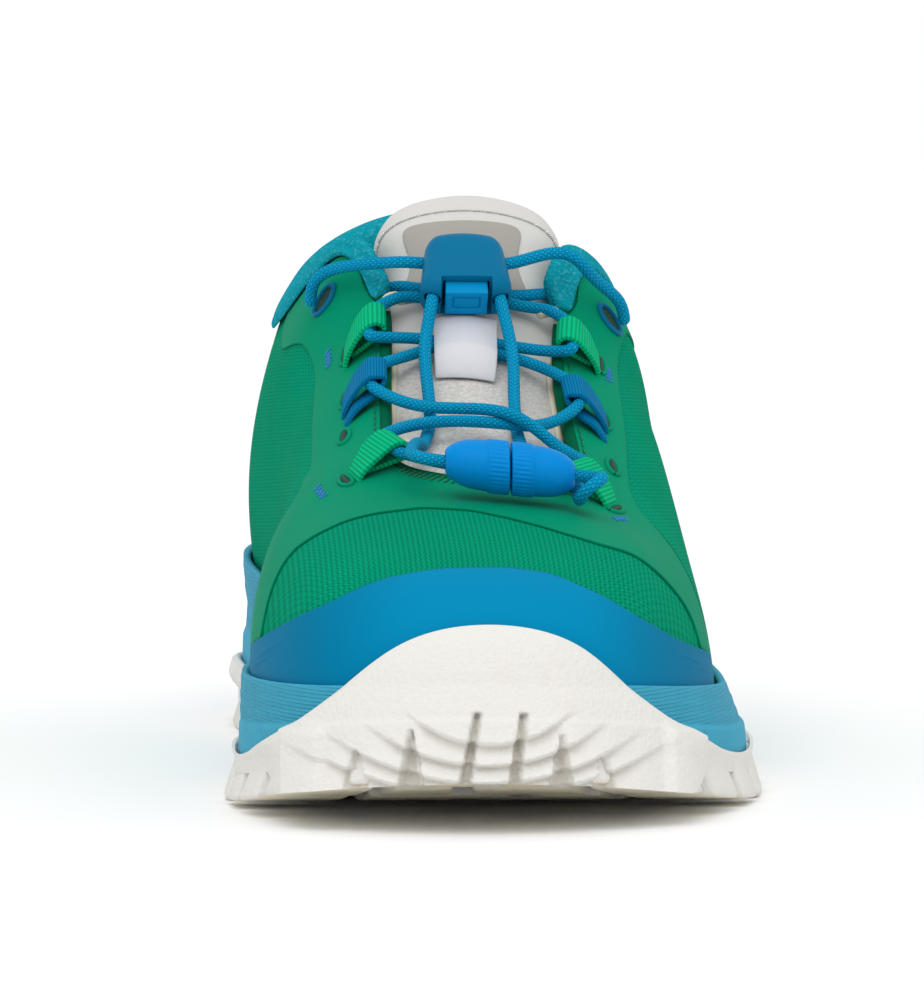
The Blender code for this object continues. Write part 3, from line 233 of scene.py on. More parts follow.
# Lug rows: front, back, forward sweep at the middle, bottom clearance, cuts across (None: no lug beside it)
LUG_ROWS = [
    (-133.0, -126.0, 0.0, 0.0, (0.27, 0.52, 0.74)),
    (-121.5, -109.5, 2.0, 0.0, (0.24, 0.50, 0.76)),
    (-105.0, -92.5, 3.0, 0.0, (0.23, 0.50, 0.77)),
    (-88.0, -75.5, 4.0, 0.0, (0.22, 0.50, 0.78)),
    (-71.0, -58.5, 4.0, 0.0, (0.22, 0.50, 0.78)),
    (-54.0, -41.5, 4.0, 0.0, (0.22, 0.50, 0.78)),
    (-37.0, -24.5, 4.0, 0.0, (0.24, 0.50, 0.76)),
    (-18.0, -5.0, 0.0, 1.2, (0.24, None, 0.76)),
    (1.0, 14.0, 0.0, 2.0, (0.24, None, 0.76)),
    (20.0, 33.0, 0.0, 2.0, (0.24, None, 0.76)),
    (39.0, 51.0, 0.0, 1.2, (0.24, None, 0.76)),
    (57.0, 69.5, -4.0, 0.0, (0.24, 0.50, 0.76)),
    (74.0, 86.5, -4.0, 0.0, (0.24, 0.50, 0.76)),
    (91.0, 103.5, -4.0, 0.0, (0.24, 0.50, 0.76)),
    (108.0, 120.0, -4.0, 0.0, (0.25, 0.50, 0.75)),
    (124.0, 133.0, -2.0, 0.0, (0.29, 0.50, 0.71)),
]
LUG_GROOVE = 3.4
LUG_LEAN = 3.0
LUG_ROUND = 1.1
# Creases across the midsole's side beside the toe: row, lean, height as a share, depth
MID_CREASES = [
    (3.15, 0.9, 0.30, 0.7), (3.75, 0.9, 0.30, 0.5), (30.95, -0.9, 0.30, 0.7), (30.35, -0.9, 0.30, 0.5),
]

# Stepped arcs across the toe bumper: x of the left and right end, height at the ends and the middle, depth
TOE_ARCS = [
    (-20.5, 10.2, 22.4, 16.6, 2.1), (-28.0, 16.8, 20.4, 12.9, 2.1), (-35.0, 23.4, 18.4, 9.8, 2.0),
    (-41.0, 29.5, 16.4, 7.6, 1.8),
]
# Raised corner blocks: left, right, height of the shoulder, how proud
TOE_BLOCKS = [
    (-41.5, -33.5, 20.0, 1.9), (26.5, 35.0, 19.5, 1.9),
]
# Grooves and notches down it: x and height at the top, the same below, half width at both, depth
TOE_CUTS = [
    (-7.3, 22.2, -9.8, 9.0, 0.55, 1.0, 2.4), (0.9, 22.0, -0.9, 8.0, 0.55, 1.0, 2.4),
    (-19.2, 19.2, -19.4, 11.5, 0.05, 1.6, 2.2), (7.9, 18.2, 7.9, 10.5, 0.05, 1.6, 2.2),
    (-29.0, 15.4, -29.2, 10.5, 0.05, 1.3, 1.8), (15.8, 13.8, 15.9, 9.4, 0.05, 1.3, 1.8),
]

ROWS = len(FOOT)
TURN = 2 * (ROWS - 1)
UP = np.array((0.0, 0.0, 1.0))

# The photo's camera, and lights by name, tilt, turn, softness in degrees and power
CAMERA_AT = (-0.0843, -1.5526, 0.1437)
CAMERA_DOWN = 3.403
CAMERA_TURN = -3.0
CAMERA_LENS = 290.5
CAMERA_SENSOR = 36.0
LIGHTS = [("soft_key", 38.0, -12.0, 50.0, 1.05), ("soft_top", 12.0, 40.0, 80.0, 0.35)]
AMBIENT = 0.72


def real(x):
    """A number or list as an array of floats."""
    return np.asarray(x, dtype=float)


def alike(*values):
    """Numbers or lists as float arrays of one shape."""
    return np.broadcast_arrays(*(real(x) for x in values))


def unit(v):
    return v / np.linalg.norm(v, axis=-1, keepdims=True)


def smooth(x):
    """0 below 0, 1 above 1, an even S between."""
    x = np.clip(x, 0.0, 1.0)
    return x * x * (3.0 - 2.0 * x)


def bell(x):
    return np.exp(-x ** 2)


def round_end(x):
    """Quarter circle: 1 at 0, down to 0 at 1."""
    return np.sqrt(np.clip(1.0 - np.clip(x, 0.0, 1.0) ** 2, 0.0, 1.0))


# Curves of the last

def around(table, medial, lateral):
    """Columns of a table as one closed ring: toe, medial side, heel, lateral side."""
    left = [[row[i] for i in medial] for row in table]
    right = [[row[i] for i in lateral] for row in table[-2:0:-1]]
    return np.array(left + right, dtype=float)


def ring_curve(points):
    """Smooth closed curve through ring rows, read at fractional rows."""
    count = len(points)
    index = np.arange(count)
    system = np.zeros((count, count))
    system[index, index] = 4.0
    system[index, (index + 1) % count] = 1.0
    system[index, (index - 1) % count] = 1.0
    bend = 6.0 * (np.roll(points, -1, 0) - 2.0 * points + np.roll(points, 1, 0))
    second = np.linalg.solve(system, bend)

    def read(s):
        s = real(s)
        low = np.floor(s)
        w = (s - low)[..., None]
        a = low.astype(int) % count
        b = (a + 1) % count
        curve = ((1 - w) ** 3 - (1 - w)) * second[a] + (w ** 3 - w) * second[b]
        return (1 - w) * points[a] + w * points[b] + curve / 6.0
    return read


def spline_weights(count, at):
    """Weights of a smooth open curve through a number of points, read from 0 to 1."""
    system = np.eye(count)
    bend = np.zeros((count, count))
    for i in range(1, count - 1):
        system[i, i - 1:i + 2] = (1.0, 4.0, 1.0)
        bend[i, i - 1:i + 2] = (6.0, -12.0, 6.0)
    second = np.linalg.solve(system, bend)
    at = np.clip(real(at), 0.0, 1.0) * (count - 1)
    a = np.minimum(at.astype(int), count - 2)
    w = (at - a)[..., None]
    each = np.eye(count)
    curve = ((1 - w) ** 3 - (1 - w)) * second[a] + (w ** 3 - w) * second[a + 1]
    return (1 - w) * each[a] + w * each[a + 1] + curve / 6.0


def open_curve(points, at):
    """Points of a smooth open curve, read from 0 to 1."""
    points = np.array(points, dtype=float)
    return spline_weights(len(points), at) @ points


def run_along(line):
    """Length covered at each point of a line."""
    return np.concatenate(([0.0], np.cumsum(np.linalg.norm(np.diff(line, axis=0), axis=1))))


def along_path(points, count, fine=400):
    """Points of a smooth route at even spacing, and its length."""
    line = open_curve(points, np.linspace(0.0, 1.0, fine))
    run = run_along(line)
    at = np.linspace(0.0, run[-1], count)
    return np.stack([np.interp(at, run, line[:, k]) for k in range(3)], -1), run[-1]


def table_curve(table):
    """A value read smoothly between the rows of a short table, without overshoot."""
    rows = np.array(table, dtype=float)
    at, values = rows[:, 0], rows[:, 1]
    step = np.diff(at)
    rise = np.diff(values) / step
    slope = np.zeros(len(at))
    same = rise[1:] * rise[:-1] > 0.0
    first = 2.0 * step[1:] + step[:-1]
    second = step[1:] + 2.0 * step[:-1]
    safe = np.where(same, rise[:-1] * rise[1:], 1.0)
    mean = (first + second) * safe / np.where(same, first * rise[1:] + second * rise[:-1], 1.0)
    slope[1:-1] = np.where(same, mean, 0.0)
    slope[0], slope[-1] = rise[0], rise[-1]

    def read(s):
        s = np.clip(s, at[0], at[-1])
        i = np.clip(np.searchsorted(at, s) - 1, 0, len(at) - 2)
        w = (s - at[i]) / step[i]
        start = (1.0 + 2.0 * w) * (1.0 - w) ** 2 * values[i] + w * (1.0 - w) ** 2 * step[i] * slope[i]
        return start + w * w * (3.0 - 2.0 * w) * values[i + 1] + w * w * (w - 1.0) * step[i] * slope[i + 1]
    return read


foot_ring = ring_curve(around(FOOT, (0, 1), (2, 3)))
top_ring = ring_curve(around(TOP, (0, 1, 2), (3, 4, 5)))
bulge_ring = ring_curve(around(BULGE, (0, 1, 2, 3), (4, 5, 6, 7)))
sole_ring = ring_curve(around(SOLE, (0, 1, 2, 3), (4, 5, 6, 7)))


def signed(s):
    """Rows past the heel counted back from the toe."""
    return np.where(s > 0.5 * TURN, s - TURN, s)


def ground(y):
    """Underside of the lugs: flat, with toe spring and a bevelled heel."""
    toe = np.maximum(0.0, (SPRING_FROM - y) / SPRING_RUN)
    heel = np.maximum(0.0, (y - BEVEL_FROM) / BEVEL_RUN)
    return TOE_SPRING * toe ** 2 + HEEL_BEVEL * heel ** 2


def footbed(y):
    """Footbed floor in the midsole's cup."""
    ramp = smooth((y - RAMP_FROM) / RAMP_RUN)
    return FLOOR_BALL + (FLOOR_HEEL - FLOOR_BALL) * ramp + FLOOR_SPRING * ground(np.minimum(y, 0.0))


def outward(s):
    """Level direction away from the foot at a row."""
    step = unit(foot_ring(s + 0.02) - foot_ring(s - 0.02))
    return np.stack((-step[..., 1], step[..., 0], 0.0 * step[..., 0]), -1)


def section(s):
    """Four handles of the upper's section at a row."""
    foot = foot_ring(s)
    bulge = bulge_ring(s)
    away = outward(s)
    start = np.stack((foot[..., 0], foot[..., 1], footbed(foot[..., 1]) + GAP), -1)
    end = top_ring(s)
    lean, rise, reach, drop = (bulge[..., k, None] for k in range(4))
    return start, start + lean * away + rise * UP, end + reach * away - drop * UP, end


def rib(s, t):
    """Point of the upper's outer face: row s, share t from bottom edge to top edge."""
    s, t = alike(s, t)
    a, b, c, d = section(s)
    t = t[..., None]
    q = 1.0 - t
    return q ** 3 * a + 3 * q * q * t * b + 3 * q * t * t * c + t ** 3 * d


def paces(s, t):
    """Millimetres to a row and to a whole share, at a point of the upper."""
    row = np.linalg.norm(rib(s + 0.1, t) - rib(s - 0.1, t)) / 0.2
    share = np.linalg.norm(rib(s, t + 0.02) - rib(s, t - 0.02)) / 0.04
    return row, share


def skin(s, t, lift):
    """Upper's face raised along its normal."""
    e = 0.03
    s = real(s)
    t = real(t)
    run = rib(s + e, t) - rib(s - e, t)
    rise = rib(s, t + e) - rib(s, t - e)
    return rib(s, t) + real(lift)[..., None] * unit(np.cross(rise, run))


def share_at(s, z):
    """Share t at which the upper's section passes a height."""
    s, z = alike(s, z)
    count = 46
    steps = np.linspace(0.0, 0.9, count)
    heights = np.maximum.accumulate(rib(s[..., None], steps)[..., 2], -1)
    i = np.clip((heights < z[..., None]).sum(-1), 1, count - 1)
    low = np.take_along_axis(heights, i[..., None] - 1, -1)[..., 0]
    high = np.take_along_axis(heights, i[..., None], -1)[..., 0]
    w = np.clip((z - low) / np.maximum(high - low, 1e-6), 0.0, 1.0)
    return (i - 1 + w) * steps[1]


def side(s, z, out):
    """Point at a height, set out level from the upper's face."""
    s, z, out = alike(s, z, out)
    p = rib(s, share_at(s, z)) + out[..., None] * outward(s)
    return np.stack((p[..., 0], p[..., 1], z), -1)


def middle(s, height, reach=0.93):
    """Point of the long middle line that belongs to a row."""
    a = foot_ring(s)
    b = foot_ring(-s)
    y = reach * 0.5 * (a[..., 1] + b[..., 1])
    return np.stack((0.5 * (a[..., 0] + b[..., 0]), y, height(y)), -1)


def plate_top(y):
    """Upper face of the outsole's plate, above the lugs."""
    return ground(y) + LUG + PLATE


def plate_bottom(y):
    return ground(y) + LUG


def mid_out(s, z):
    """How far the midsole's side stands out at a height."""
    sole = sole_ring(s)
    foot = plate_top(foot_ring(s)[..., 1]) + GAP
    share = np.clip((z - foot) / (sole[..., 0] - foot), 0.0, 1.0)
    flare = np.interp(share, [row[0] for row in MID_SIDE], [row[1] for row in MID_SIDE])
    return RIM_OUT + (sole[..., 2] - RIM_OUT) * flare


def tongue_net():
    """Control rows of the tongue's outer face, seven points each."""
    under = -WALL - TONGUE_CLEAR
    at = np.array((5.2, 4.2, 2.4, 0.0, -2.4, -4.2, -5.2))
    rows = [skin(at, np.array(shares), under - TONGUE_SINK) for shares in TONGUE_LOW]
    for s in TONGUE_ROWS:
        wings = skin(s, np.array((0.86, 0.93, 1.0)), under)
        others = skin(-s, np.array((1.0, 0.93, 0.86)), under)
        crown = 0.5 * (wings[2] + others[0]) + TONGUE_CROWN * np.array((0.0, -0.4, 0.92))
        rows.append(np.concatenate((wings, [crown], others)))
    return np.array(rows + [np.array(row) for row in TONGUE_TOP])


TONGUE_NET = tongue_net()


def tongue_face(u, v):
    """Outer face of the tongue: u across from -1 to 1, v along from 0 to 1."""
    u, v = alike(u, v)
    across = spline_weights(7, 0.5 + 0.5 * u)
    along = spline_weights(len(TONGUE_NET), v)
    return np.einsum("...k,...j,kjc->...c", along, across, TONGUE_NET)


def tongue(u, v, lift):
    """Tongue's face raised along its normal."""
    e = 0.02
    u = real(u)
    v = real(v)
    across = tongue_face(np.minimum(u + e, 1.0), v) - tongue_face(np.maximum(u - e, -1.0), v)
    along = tongue_face(u, np.minimum(v + e, 1.0)) - tongue_face(u, np.maximum(v - e, 0.0))
    return tongue_face(u, v) + real(lift)[..., None] * unit(np.cross(across, along))


def throat_point(s, inward, lift, along):
    """Point near the throat's edge: past the edge, above the film, up the edge."""
    way = 1.0 if s > 0.0 else -1.0
    pace = paces(s, 1.0)[0]
    c, d = section(real(s))[2:]
    share = 1.0 + real(inward) / (3.0 * np.linalg.norm(d - c))
    return skin(s + way * real(along) / pace, share, ON_FILM + real(lift))


def lock_frame():
    """Seat of the cord lock on the tongue: origin, right, up and outward directions."""
    u = -0.03
    base = tongue_face(u, LOCK_SEAT)
    out = tongue(u, LOCK_SEAT, 1.0) - base
    right = np.array((1.0, 0.0, 0.0))
    right = unit(right - out * np.dot(right, out))
    return base + (LOCK_RISE + 0.5 * LOCK_THICK) * out, right, np.cross(out, right), out


LOCK_AT, LOCK_RIGHT, LOCK_UP, LOCK_OUT = lock_frame()


def on_lock(x, y, z):
    """Point on the cord lock's own axes: right, up, outward from its middle."""
    x, y, z = (real(c)[..., None] for c in (x, y, z))
    return LOCK_AT + x * LOCK_RIGHT + y * LOCK_UP + z * LOCK_OUT


def barrel_point(x, radius, turn):
    """Point round the barrel's axis: along it, away from it, angle from its back."""
    tilt = math.radians(BARREL_TILT)
    x, radius, turn = alike(x, radius, turn)
    level = x * math.cos(tilt)
    drop = -x * math.sin(tilt)
    return np.array(BARREL_AT) + np.stack((level, radius * np.cos(turn), drop + radius * np.sin(turn)), -1)


# Finishes

def math_node(operation, turned=False):
    """A method that adds one Math node, with its own value first or last."""
    def work(self, *others):
        values = (*others, self) if turned else (self, *others)
        return self.finish.node("ShaderNodeMath", {"operation": operation}, dict(enumerate(values)))
    return work


class Value:
    """A value in a finish's nodes; arithmetic with it adds Math nodes."""

    def __init__(self, finish, socket):
        self.finish = finish
        self.socket = socket

    __add__ = math_node("ADD")
    __radd__ = math_node("ADD", True)
    __sub__ = math_node("SUBTRACT")
    __rsub__ = math_node("SUBTRACT", True)
    __mul__ = math_node("MULTIPLY")
    __rmul__ = math_node("MULTIPLY", True)
    __truediv__ = math_node("DIVIDE")
    sin = math_node("SINE")
    cos = math_node("COSINE")
    size = math_node("ABSOLUTE")

    def between(self, low, high):
        """0 below low, 1 above high, smooth between."""
        return self.finish.node("ShaderNodeMapRange", {"interpolation_type": "SMOOTHSTEP"},
                                {"Value": self, "From Min": low, "From Max": high})


class Finish:
    """A material and the nodes that make it."""

    def __init__(self, name, roughness=0.5, **fixed):
        self.material = bpy.data.materials.new(name)
        self.material.use_nodes = True
        self.tree = self.material.node_tree
        self.shader = self.tree.nodes["Principled BSDF"]
        self.shader.inputs["Roughness"].default_value = roughness
        for key, value in fixed.items():
            self.shader.inputs[key.replace("_", " ")].default_value = value

    def feed(self, socket, value):
        """Link a value to a socket, or set the socket to a plain number or colour."""
        if isinstance(value, Value):
            self.tree.links.new(value.socket, socket)
        else:
            socket.default_value = value

    def node(self, kind, settings=None, sockets=None, out=0):
        """A new node with its settings and sockets; gives one of its outputs."""
        made = self.tree.nodes.new(kind)
        for key, value in (settings or {}).items():
            setattr(made, key, value)
        for key, value in (sockets or {}).items():
            self.feed(made.inputs[key], value)
        return Value(self, made.outputs[out])

    def weave(self):
        """The piece's own UV in millimetres, as two values."""
        uv = self.node("ShaderNodeUVMap", {"uv_map": "UVMap"})
        split = self.node("ShaderNodeSeparateXYZ", None, {0: uv})
        return split, Value(self, split.socket.node.outputs[1])

    def mark(self, name):
        return self.node("ShaderNodeAttribute", {"attribute_name": name}, None, 2)

    def texture(self, kind, **sockets):
        """A texture placed by the piece's own coordinates."""
        place = self.node("ShaderNodeTexCoord", None, None, 3)
        return self.node(kind, None, {"Vector": place, **sockets})

    def noise(self, scale, detail=2.0, roughness=0.5):
        return self.texture("ShaderNodeTexNoise", Scale=scale, Detail=detail, Roughness=roughness)

    def cells(self, scale):
        return self.texture("ShaderNodeTexVoronoi", Scale=scale)

    def mix(self, factor, a, b):
        return self.node("ShaderNodeMix", {"data_type": "RGBA"}, {0: factor, 6: a, 7: b}, 2)

    def clouded(self, colour, low, high, scale, detail=2.0):
        """A colour that drifts between two gains in soft clouds."""
        return self.mix(self.noise(scale, detail), tone(colour, low), tone(colour, high))

    def paint(self, colour, rough, height, depth):
        """Set the colour, any roughness, and a relief of a depth in millimetres."""
        self.feed(self.shader.inputs["Base Color"], colour)
        if rough is not None:
            self.feed(self.shader.inputs["Roughness"], rough)
        relief = {"Strength": 1.0, "Distance": depth * MM, "Height": height}
        self.feed(self.shader.inputs["Normal"], self.node("ShaderNodeBump", None, relief))
        return self


def tone(colour, gain=1.0):
    """A colour made lighter or darker, with full alpha."""
    return tuple(min(1.0, c * gain) for c in colour) + (1.0,)


KNIT_GREEN = (0.001, 0.262, 0.142)
FILM_GREEN = (0.001, 0.262, 0.138)
CAP_BLUE = (0.001, 0.235, 0.445)
FOAM_BLUE = (0.052, 0.36, 0.52)
RUBBER = (0.765, 0.75, 0.71)
IVORY = (0.76, 0.71, 0.56)
TEAL = (0.004, 0.26, 0.33)
TEAL_LIGHT = (0.045, 0.38, 0.46)
PALE = (0.625, 0.615, 0.585)
KNIT_GREY = (0.60, 0.585, 0.555)
TAUPE = (0.36, 0.34, 0.305)
WEB_GREEN = (0.001, 0.40, 0.178)
WEB_BLUE = (0.001, 0.165, 0.36)
LACE_BLUE = (0.002, 0.35, 0.64)
LOCK_BLUE = (0.001, 0.15, 0.30)
BARREL_BLUE = (0.001, 0.235, 0.64)


def knit_finish():
    """Mesh knit: zigzag wales with a pore in each cell; painted highlight on the wales' crests, painted
    shade in the pores.
    """
    f = Finish("knit_mesh", 0.85, IOR=1.06)
    u, v = f.weave()
    wave = (v * (TAU / 2.1)).sin()
    wale = ((u / 0.92 + wave * 0.24) * TAU).cos()
    course = (v * (TAU / 1.05)).cos()
    pore = (0.5 - 0.5 * wale).between(0.35, 1.0) * (0.5 + 0.5 * course)
    base = f.clouded(KNIT_GREEN, 0.92, 1.2, 45.0, 3.0)
    # Painted highlight: the wales' crests are lighter, as if lit.
    lit_ridge = f.mix((wale * 0.5 + 0.5) * (0.6 + 0.4 * course) * 0.45, base, tone(KNIT_GREEN, 1.4))
    # Painted shade: each pore darkens as a shaded hole.
    colour = f.mix(pore * 0.8, lit_ridge, tone(KNIT_GREEN, 0.34))
    return f.paint(colour, None, wale * 0.25 + course * 0.2 - pore * 0.7, 0.12)


def film_finish(name, colour, rough, sides=1.0):
    """Smooth film with a fine grain, a shaded edge and painted shade towards the shoe's sides, where the
    colour takes the gain sides.
    """
    f = Finish(name, rough, IOR=1.07)
    base = f.clouded(colour, 0.93, 1.07, 30.0)
    u = f.weave()[0]
    # Painted shade: the colour falls to the gain sides towards the shoe's left and right, which face away
    # from the light.
    turned = f.mix(((u + 3.0) / 42.0).size().between(0.3, 0.9), base, tone(colour, sides))
    edge = f.mark("edge")
    shade = f.mix(edge.between(0.2, 0.9) * 0.45, turned, tone(colour, 0.42))
    grain = f.noise(1500.0, 2.0, 0.6)
    return f.paint(shade, rough - 0.05 + grain * 0.1, grain, 0.035)


def rubber_finish(name, colour):
    """Stippled rubber, faintly stained, with painted shade in its grooves."""
    f = Finish(name, 0.66, IOR=1.2)
    stain = f.noise(70.0, 4.0, 0.6)
    base = f.clouded(colour, 0.96, 1.04, 22.0, 3.0)
    worn = f.mix(stain.between(0.56, 0.78) * 0.16, base, tone((0.64, 0.59, 0.49)))
    # Painted shade: the marked grooves go towards a brown grey.
    deep = f.mix(f.mark("groove") * 0.6, worn, tone((0.36, 0.32, 0.26)))
    stipple = f.cells(1150.0)
    return f.paint(deep, None, stipple * -1.0, 0.16)


def foam_finish():
    """Midsole foam with fine level ribs where it is marked, and a painted highlight on the ribs' crests."""
    f = Finish("midsole_foam", 0.6, IOR=1.12)
    v = f.weave()[1]
    band = f.mark("ribbed")
    rib_line = (v * (TAU / 0.68)).sin() * band
    base = f.clouded(FOAM_BLUE, 0.92, 1.08, 36.0, 3.0)
    # Painted highlight: the ribs' crests are lighter.
    colour = f.mix(rib_line.between(0.0, 1.0) * 0.22, base, tone(FOAM_BLUE, 1.25))
    grain = f.noise(900.0, 2.0)
    return f.paint(colour, None, rib_line + grain * 0.3, 0.12)


def collar_finish():
    """Looped knit in two shades of teal."""
    f = Finish("collar_knit", 0.9, IOR=1.06)
    loops = f.cells(1250.0)
    fleck = f.noise(1000.0, 3.0, 0.6)
    base = f.clouded(TEAL, 0.95, 1.35, 60.0)
    colour = f.mix((fleck + loops * -0.35).between(0.30, 0.56), base, tone(TEAL_LIGHT))
    return f.paint(colour, None, fleck - loops * 0.9, 0.4)


def pale_finish(name, colour, grain_scale=520.0, rough=0.55):
    """Pale synthetic skin with a fine pebbled grain."""
    f = Finish(name, rough, Specular_IOR_Level=0.4)
    base = f.clouded(colour, 0.96, 1.04, 40.0)
    return f.paint(base, None, f.cells(grain_scale) * -1.0, 0.05)


def grey_knit_finish():
    """Fibrous grey knit with a few warm flecks."""
    f = Finish("tongue_knit", 0.88, Specular_IOR_Level=0.2)
    fibre = f.noise(1300.0, 3.0, 0.7)
    fleck = f.noise(420.0, 2.0, 0.5)
    base = f.mix(fibre.between(0.32, 0.68), tone(KNIT_GREY, 0.84), tone(KNIT_GREY, 1.14))
    colour = f.mix(fleck.between(0.55, 0.75) * 0.25, base, tone((0.62, 0.52, 0.42)))
    return f.paint(colour, None, fibre, 0.25)


def webbing_finish(name, colour, period):
    """Ribbed webbing with painted shade between its ribs and a painted highlight on their crests; period is
    the ribs' spacing in millimetres.
    """
    f = Finish(name, 0.7, IOR=1.1)
    u, v = f.weave()
    row = (v * (math.pi / period)).sin().size()
    thread = (u * (TAU / 0.45)).sin()
    fuzz = f.noise(700.0, 2.0)
    # Painted shade in the troughs between the ribs.
    base = f.mix(row.between(0.05, 0.6), tone(colour, 0.72), tone(colour, 1.06))
    crest = (row.between(0.75, 1.0) + fuzz * 0.4).between(0.5, 1.3)
    # Painted highlight on the ribs' crests.
    crest_highlight = f.mix(crest * 0.45, base, tone(colour, 1.55))
    return f.paint(crest_highlight, None, row + thread * 0.12 + fuzz * 0.2, 0.14)


def braid_finish():
    """Cord braid: two sets of strands that cross, with painted shade in the gaps between them; UV is turns
    round the cord and millimetres along it.
    """
    f = Finish("lace_braid", 0.62, IOR=1.1)
    u, v = f.weave()
    lean = v * (TAU / 2.3)
    turn = u * (TAU * 4.0)
    knot = (turn + lean).sin() * (turn - lean).sin()
    over = knot.between(0.05, 0.75)
    under = (knot * -1.0).between(0.05, 0.75)
    base = f.clouded(LACE_BLUE, 0.84, 1.12, 160.0)
    # Painted shade in the gaps where neither set of strands lies on top.
    dark = f.mix((1.0 - over) * (1.0 - under) * 0.6, base, tone(LACE_BLUE, 0.58))
    colour = f.mix(under * 0.5, dark, tone((0.02, 0.42, 0.72)))
    return f.paint(colour, None, over * 0.8 + under, 0.3)


def plastic_finish(name, colour, rough):
    """Moulded plastic with a hint of grain."""
    f = Finish(name, rough, IOR=1.13)
    base = f.clouded(colour, 0.95, 1.06, 55.0)
    grain = f.noise(1900.0, 2.0)
    return f.paint(base, rough - 0.04 + grain * 0.08, grain, 0.02)


def thread_finish(name, colour):
    """Twisted sewing thread."""
    f = Finish(name, 0.6, Specular_IOR_Level=0.4)
    u, v = f.weave()
    twist = ((u * 2.0 + v / 0.5) * TAU).sin()
    shade = f.mix(twist * 0.5 + 0.5, tone(colour, 0.75), tone(colour, 1.2))
    return f.paint(shade, None, twist, 0.06)


def lining_finish(name, colour, scale):
    """Soft lining or foam with small open cells."""
    f = Finish(name, 0.88, Specular_IOR_Level=0.2)
    cell = f.cells(scale)
    base = f.clouded(colour, 0.9, 1.1, 50.0)
    shade = f.mix(cell.between(0.2, 0.8) * 0.4, base, tone(colour, 0.55))
    return f.paint(shade, None, cell * -1.0, 0.15)


knit_mesh = knit_finish()
film_green = film_finish("throat_film", FILM_GREEN, 0.55)
# The toe cap's sides get painted shade at 0.72 of its colour.
film_cap = film_finish("toe_cap_film", CAP_BLUE, 0.5, 0.72)
rim_green = film_finish("throat_rim", (0.001, 0.105, 0.048), 0.6)
white_rubber = rubber_finish("bumper_rubber", RUBBER)
ivory_rubber = rubber_finish("tread_rubber", IVORY)
midsole_foam = foam_finish()
collar_knit = collar_finish()
tongue_cover_skin = pale_finish("tongue_cover_skin", PALE)
keeper_satin = pale_finish("keeper_satin", (0.64, 0.64, 0.67), 300.0, 0.4)
patch_skin = pale_finish("lock_patch_skin", TAUPE, 700.0, 0.6)
tongue_knit = grey_knit_finish()
ivory_edge = pale_finish("tongue_edge_skin", (0.66, 0.61, 0.46), 600.0, 0.7)
cream_foam = lining_finish("cut_foam", (0.74, 0.68, 0.52), 1500.0)
web_green = webbing_finish("green_webbing", WEB_GREEN, 0.8)
web_blue = webbing_finish("blue_webbing", WEB_BLUE, 0.5)
lace_braid = braid_finish()
lock_plastic = plastic_finish("lock_plastic", LOCK_BLUE, 0.36)
button_plastic = plastic_finish("button_plastic", (0.001, 0.26, 0.55), 0.36)
# Near-black plastic as painted shade inside the lock's pocket.
recess_shade_plastic = plastic_finish("lock_recess_shade", (0.0, 0.03, 0.09), 0.5)
barrel_plastic = plastic_finish("barrel_plastic", BARREL_BLUE, 0.34)
white_thread = thread_finish("white_thread", (0.80, 0.79, 0.76))
blue_thread = thread_finish("blue_thread", (0.02, 0.24, 0.58))
green_thread = thread_finish("green_thread", (0.002, 0.19, 0.085))
# Painted shadow for the openings of the slits and the wells of the slots.
painted_slit_shadow = thread_finish("slit_shadow", (0.004, 0.05, 0.028))
shoe_lining = lining_finish("shoe_lining", (0.03, 0.17, 0.20), 1100.0)
insole_cloth = lining_finish("insole_cloth", (0.20, 0.215, 0.235), 900.0)


# Making of pieces

def grid_piece(name, columns, rows, place, weave=None, marks=None, merge=True):
    """A plain grid whose points go to place(u, v), with its UV in millimetres and its own marks."""
    bpy.ops.object.select_all(action="DESELECT")
    bpy.ops.mesh.primitive_grid_add(x_subdivisions=columns, y_subdivisions=rows, size=1.0)
    made = bpy.context.active_object
    made.name = name
    mesh = made.data
    mesh.name = name
    flat = np.empty(len(mesh.vertices) * 3, np.float32)
    mesh.vertices.foreach_get("co", flat)
    flat = flat.reshape(-1, 3).astype(float)
    u = np.rint((flat[:, 0] + 0.5) * columns) / columns
    v = np.rint((flat[:, 1] + 0.5) * rows) / rows
    points = place(u, v)
    mesh.vertices.foreach_set("co", (points * MM).astype(np.float32).ravel())
    if weave is not None:
        corner = np.empty(len(mesh.loops), np.int32)
        mesh.loops.foreach_get("vertex_index", corner)
        uv = np.stack(np.broadcast_arrays(*weave(u, v, points)), -1)[corner]
        mesh.uv_layers[0].data.foreach_set("uv", uv.astype(np.float32).ravel())
    for key, values in (marks(u, v, points) if marks else {}).items():
        spot = mesh.attributes.new(key, "FLOAT", "POINT")
        spot.data.foreach_set("value", np.broadcast_to(values, u.shape).astype(np.float32).ravel())
    if merge:
        join_seams(made)
    mesh.update()
    return made


def plan_weave(u, v, points):
    """UV as seen from above."""
    return points[:, 0], points[:, 1]


def pick(made):
    """Select one piece alone and make it active."""
    bpy.ops.object.select_all(action="DESELECT")
    made.select_set(True)
    bpy.context.view_layer.objects.active = made


def join_seams(made, turn=False):
    """Merge doubled points, and turn the faces of a closed piece outwards."""
    pick(made)
    bpy.ops.object.mode_set(mode="EDIT")
    bpy.ops.mesh.select_all(action="SELECT")
    bpy.ops.mesh.remove_doubles(threshold=0.00001)
    bpy.ops.mesh.dissolve_degenerate(threshold=0.0000005)
    if turn:
        bpy.ops.mesh.select_all(action="SELECT")
        bpy.ops.mesh.normals_make_consistent(inside=False)
    bpy.ops.object.mode_set(mode="OBJECT")


def shape(made, kind, **settings):
    """Add a modifier and apply it."""
    pick(made)
    modifier = made.modifiers.new(kind.lower(), kind)
    for key, value in settings.items():
        setattr(modifier, key, value)
    bpy.ops.object.modifier_apply(modifier=modifier.name)
    return made


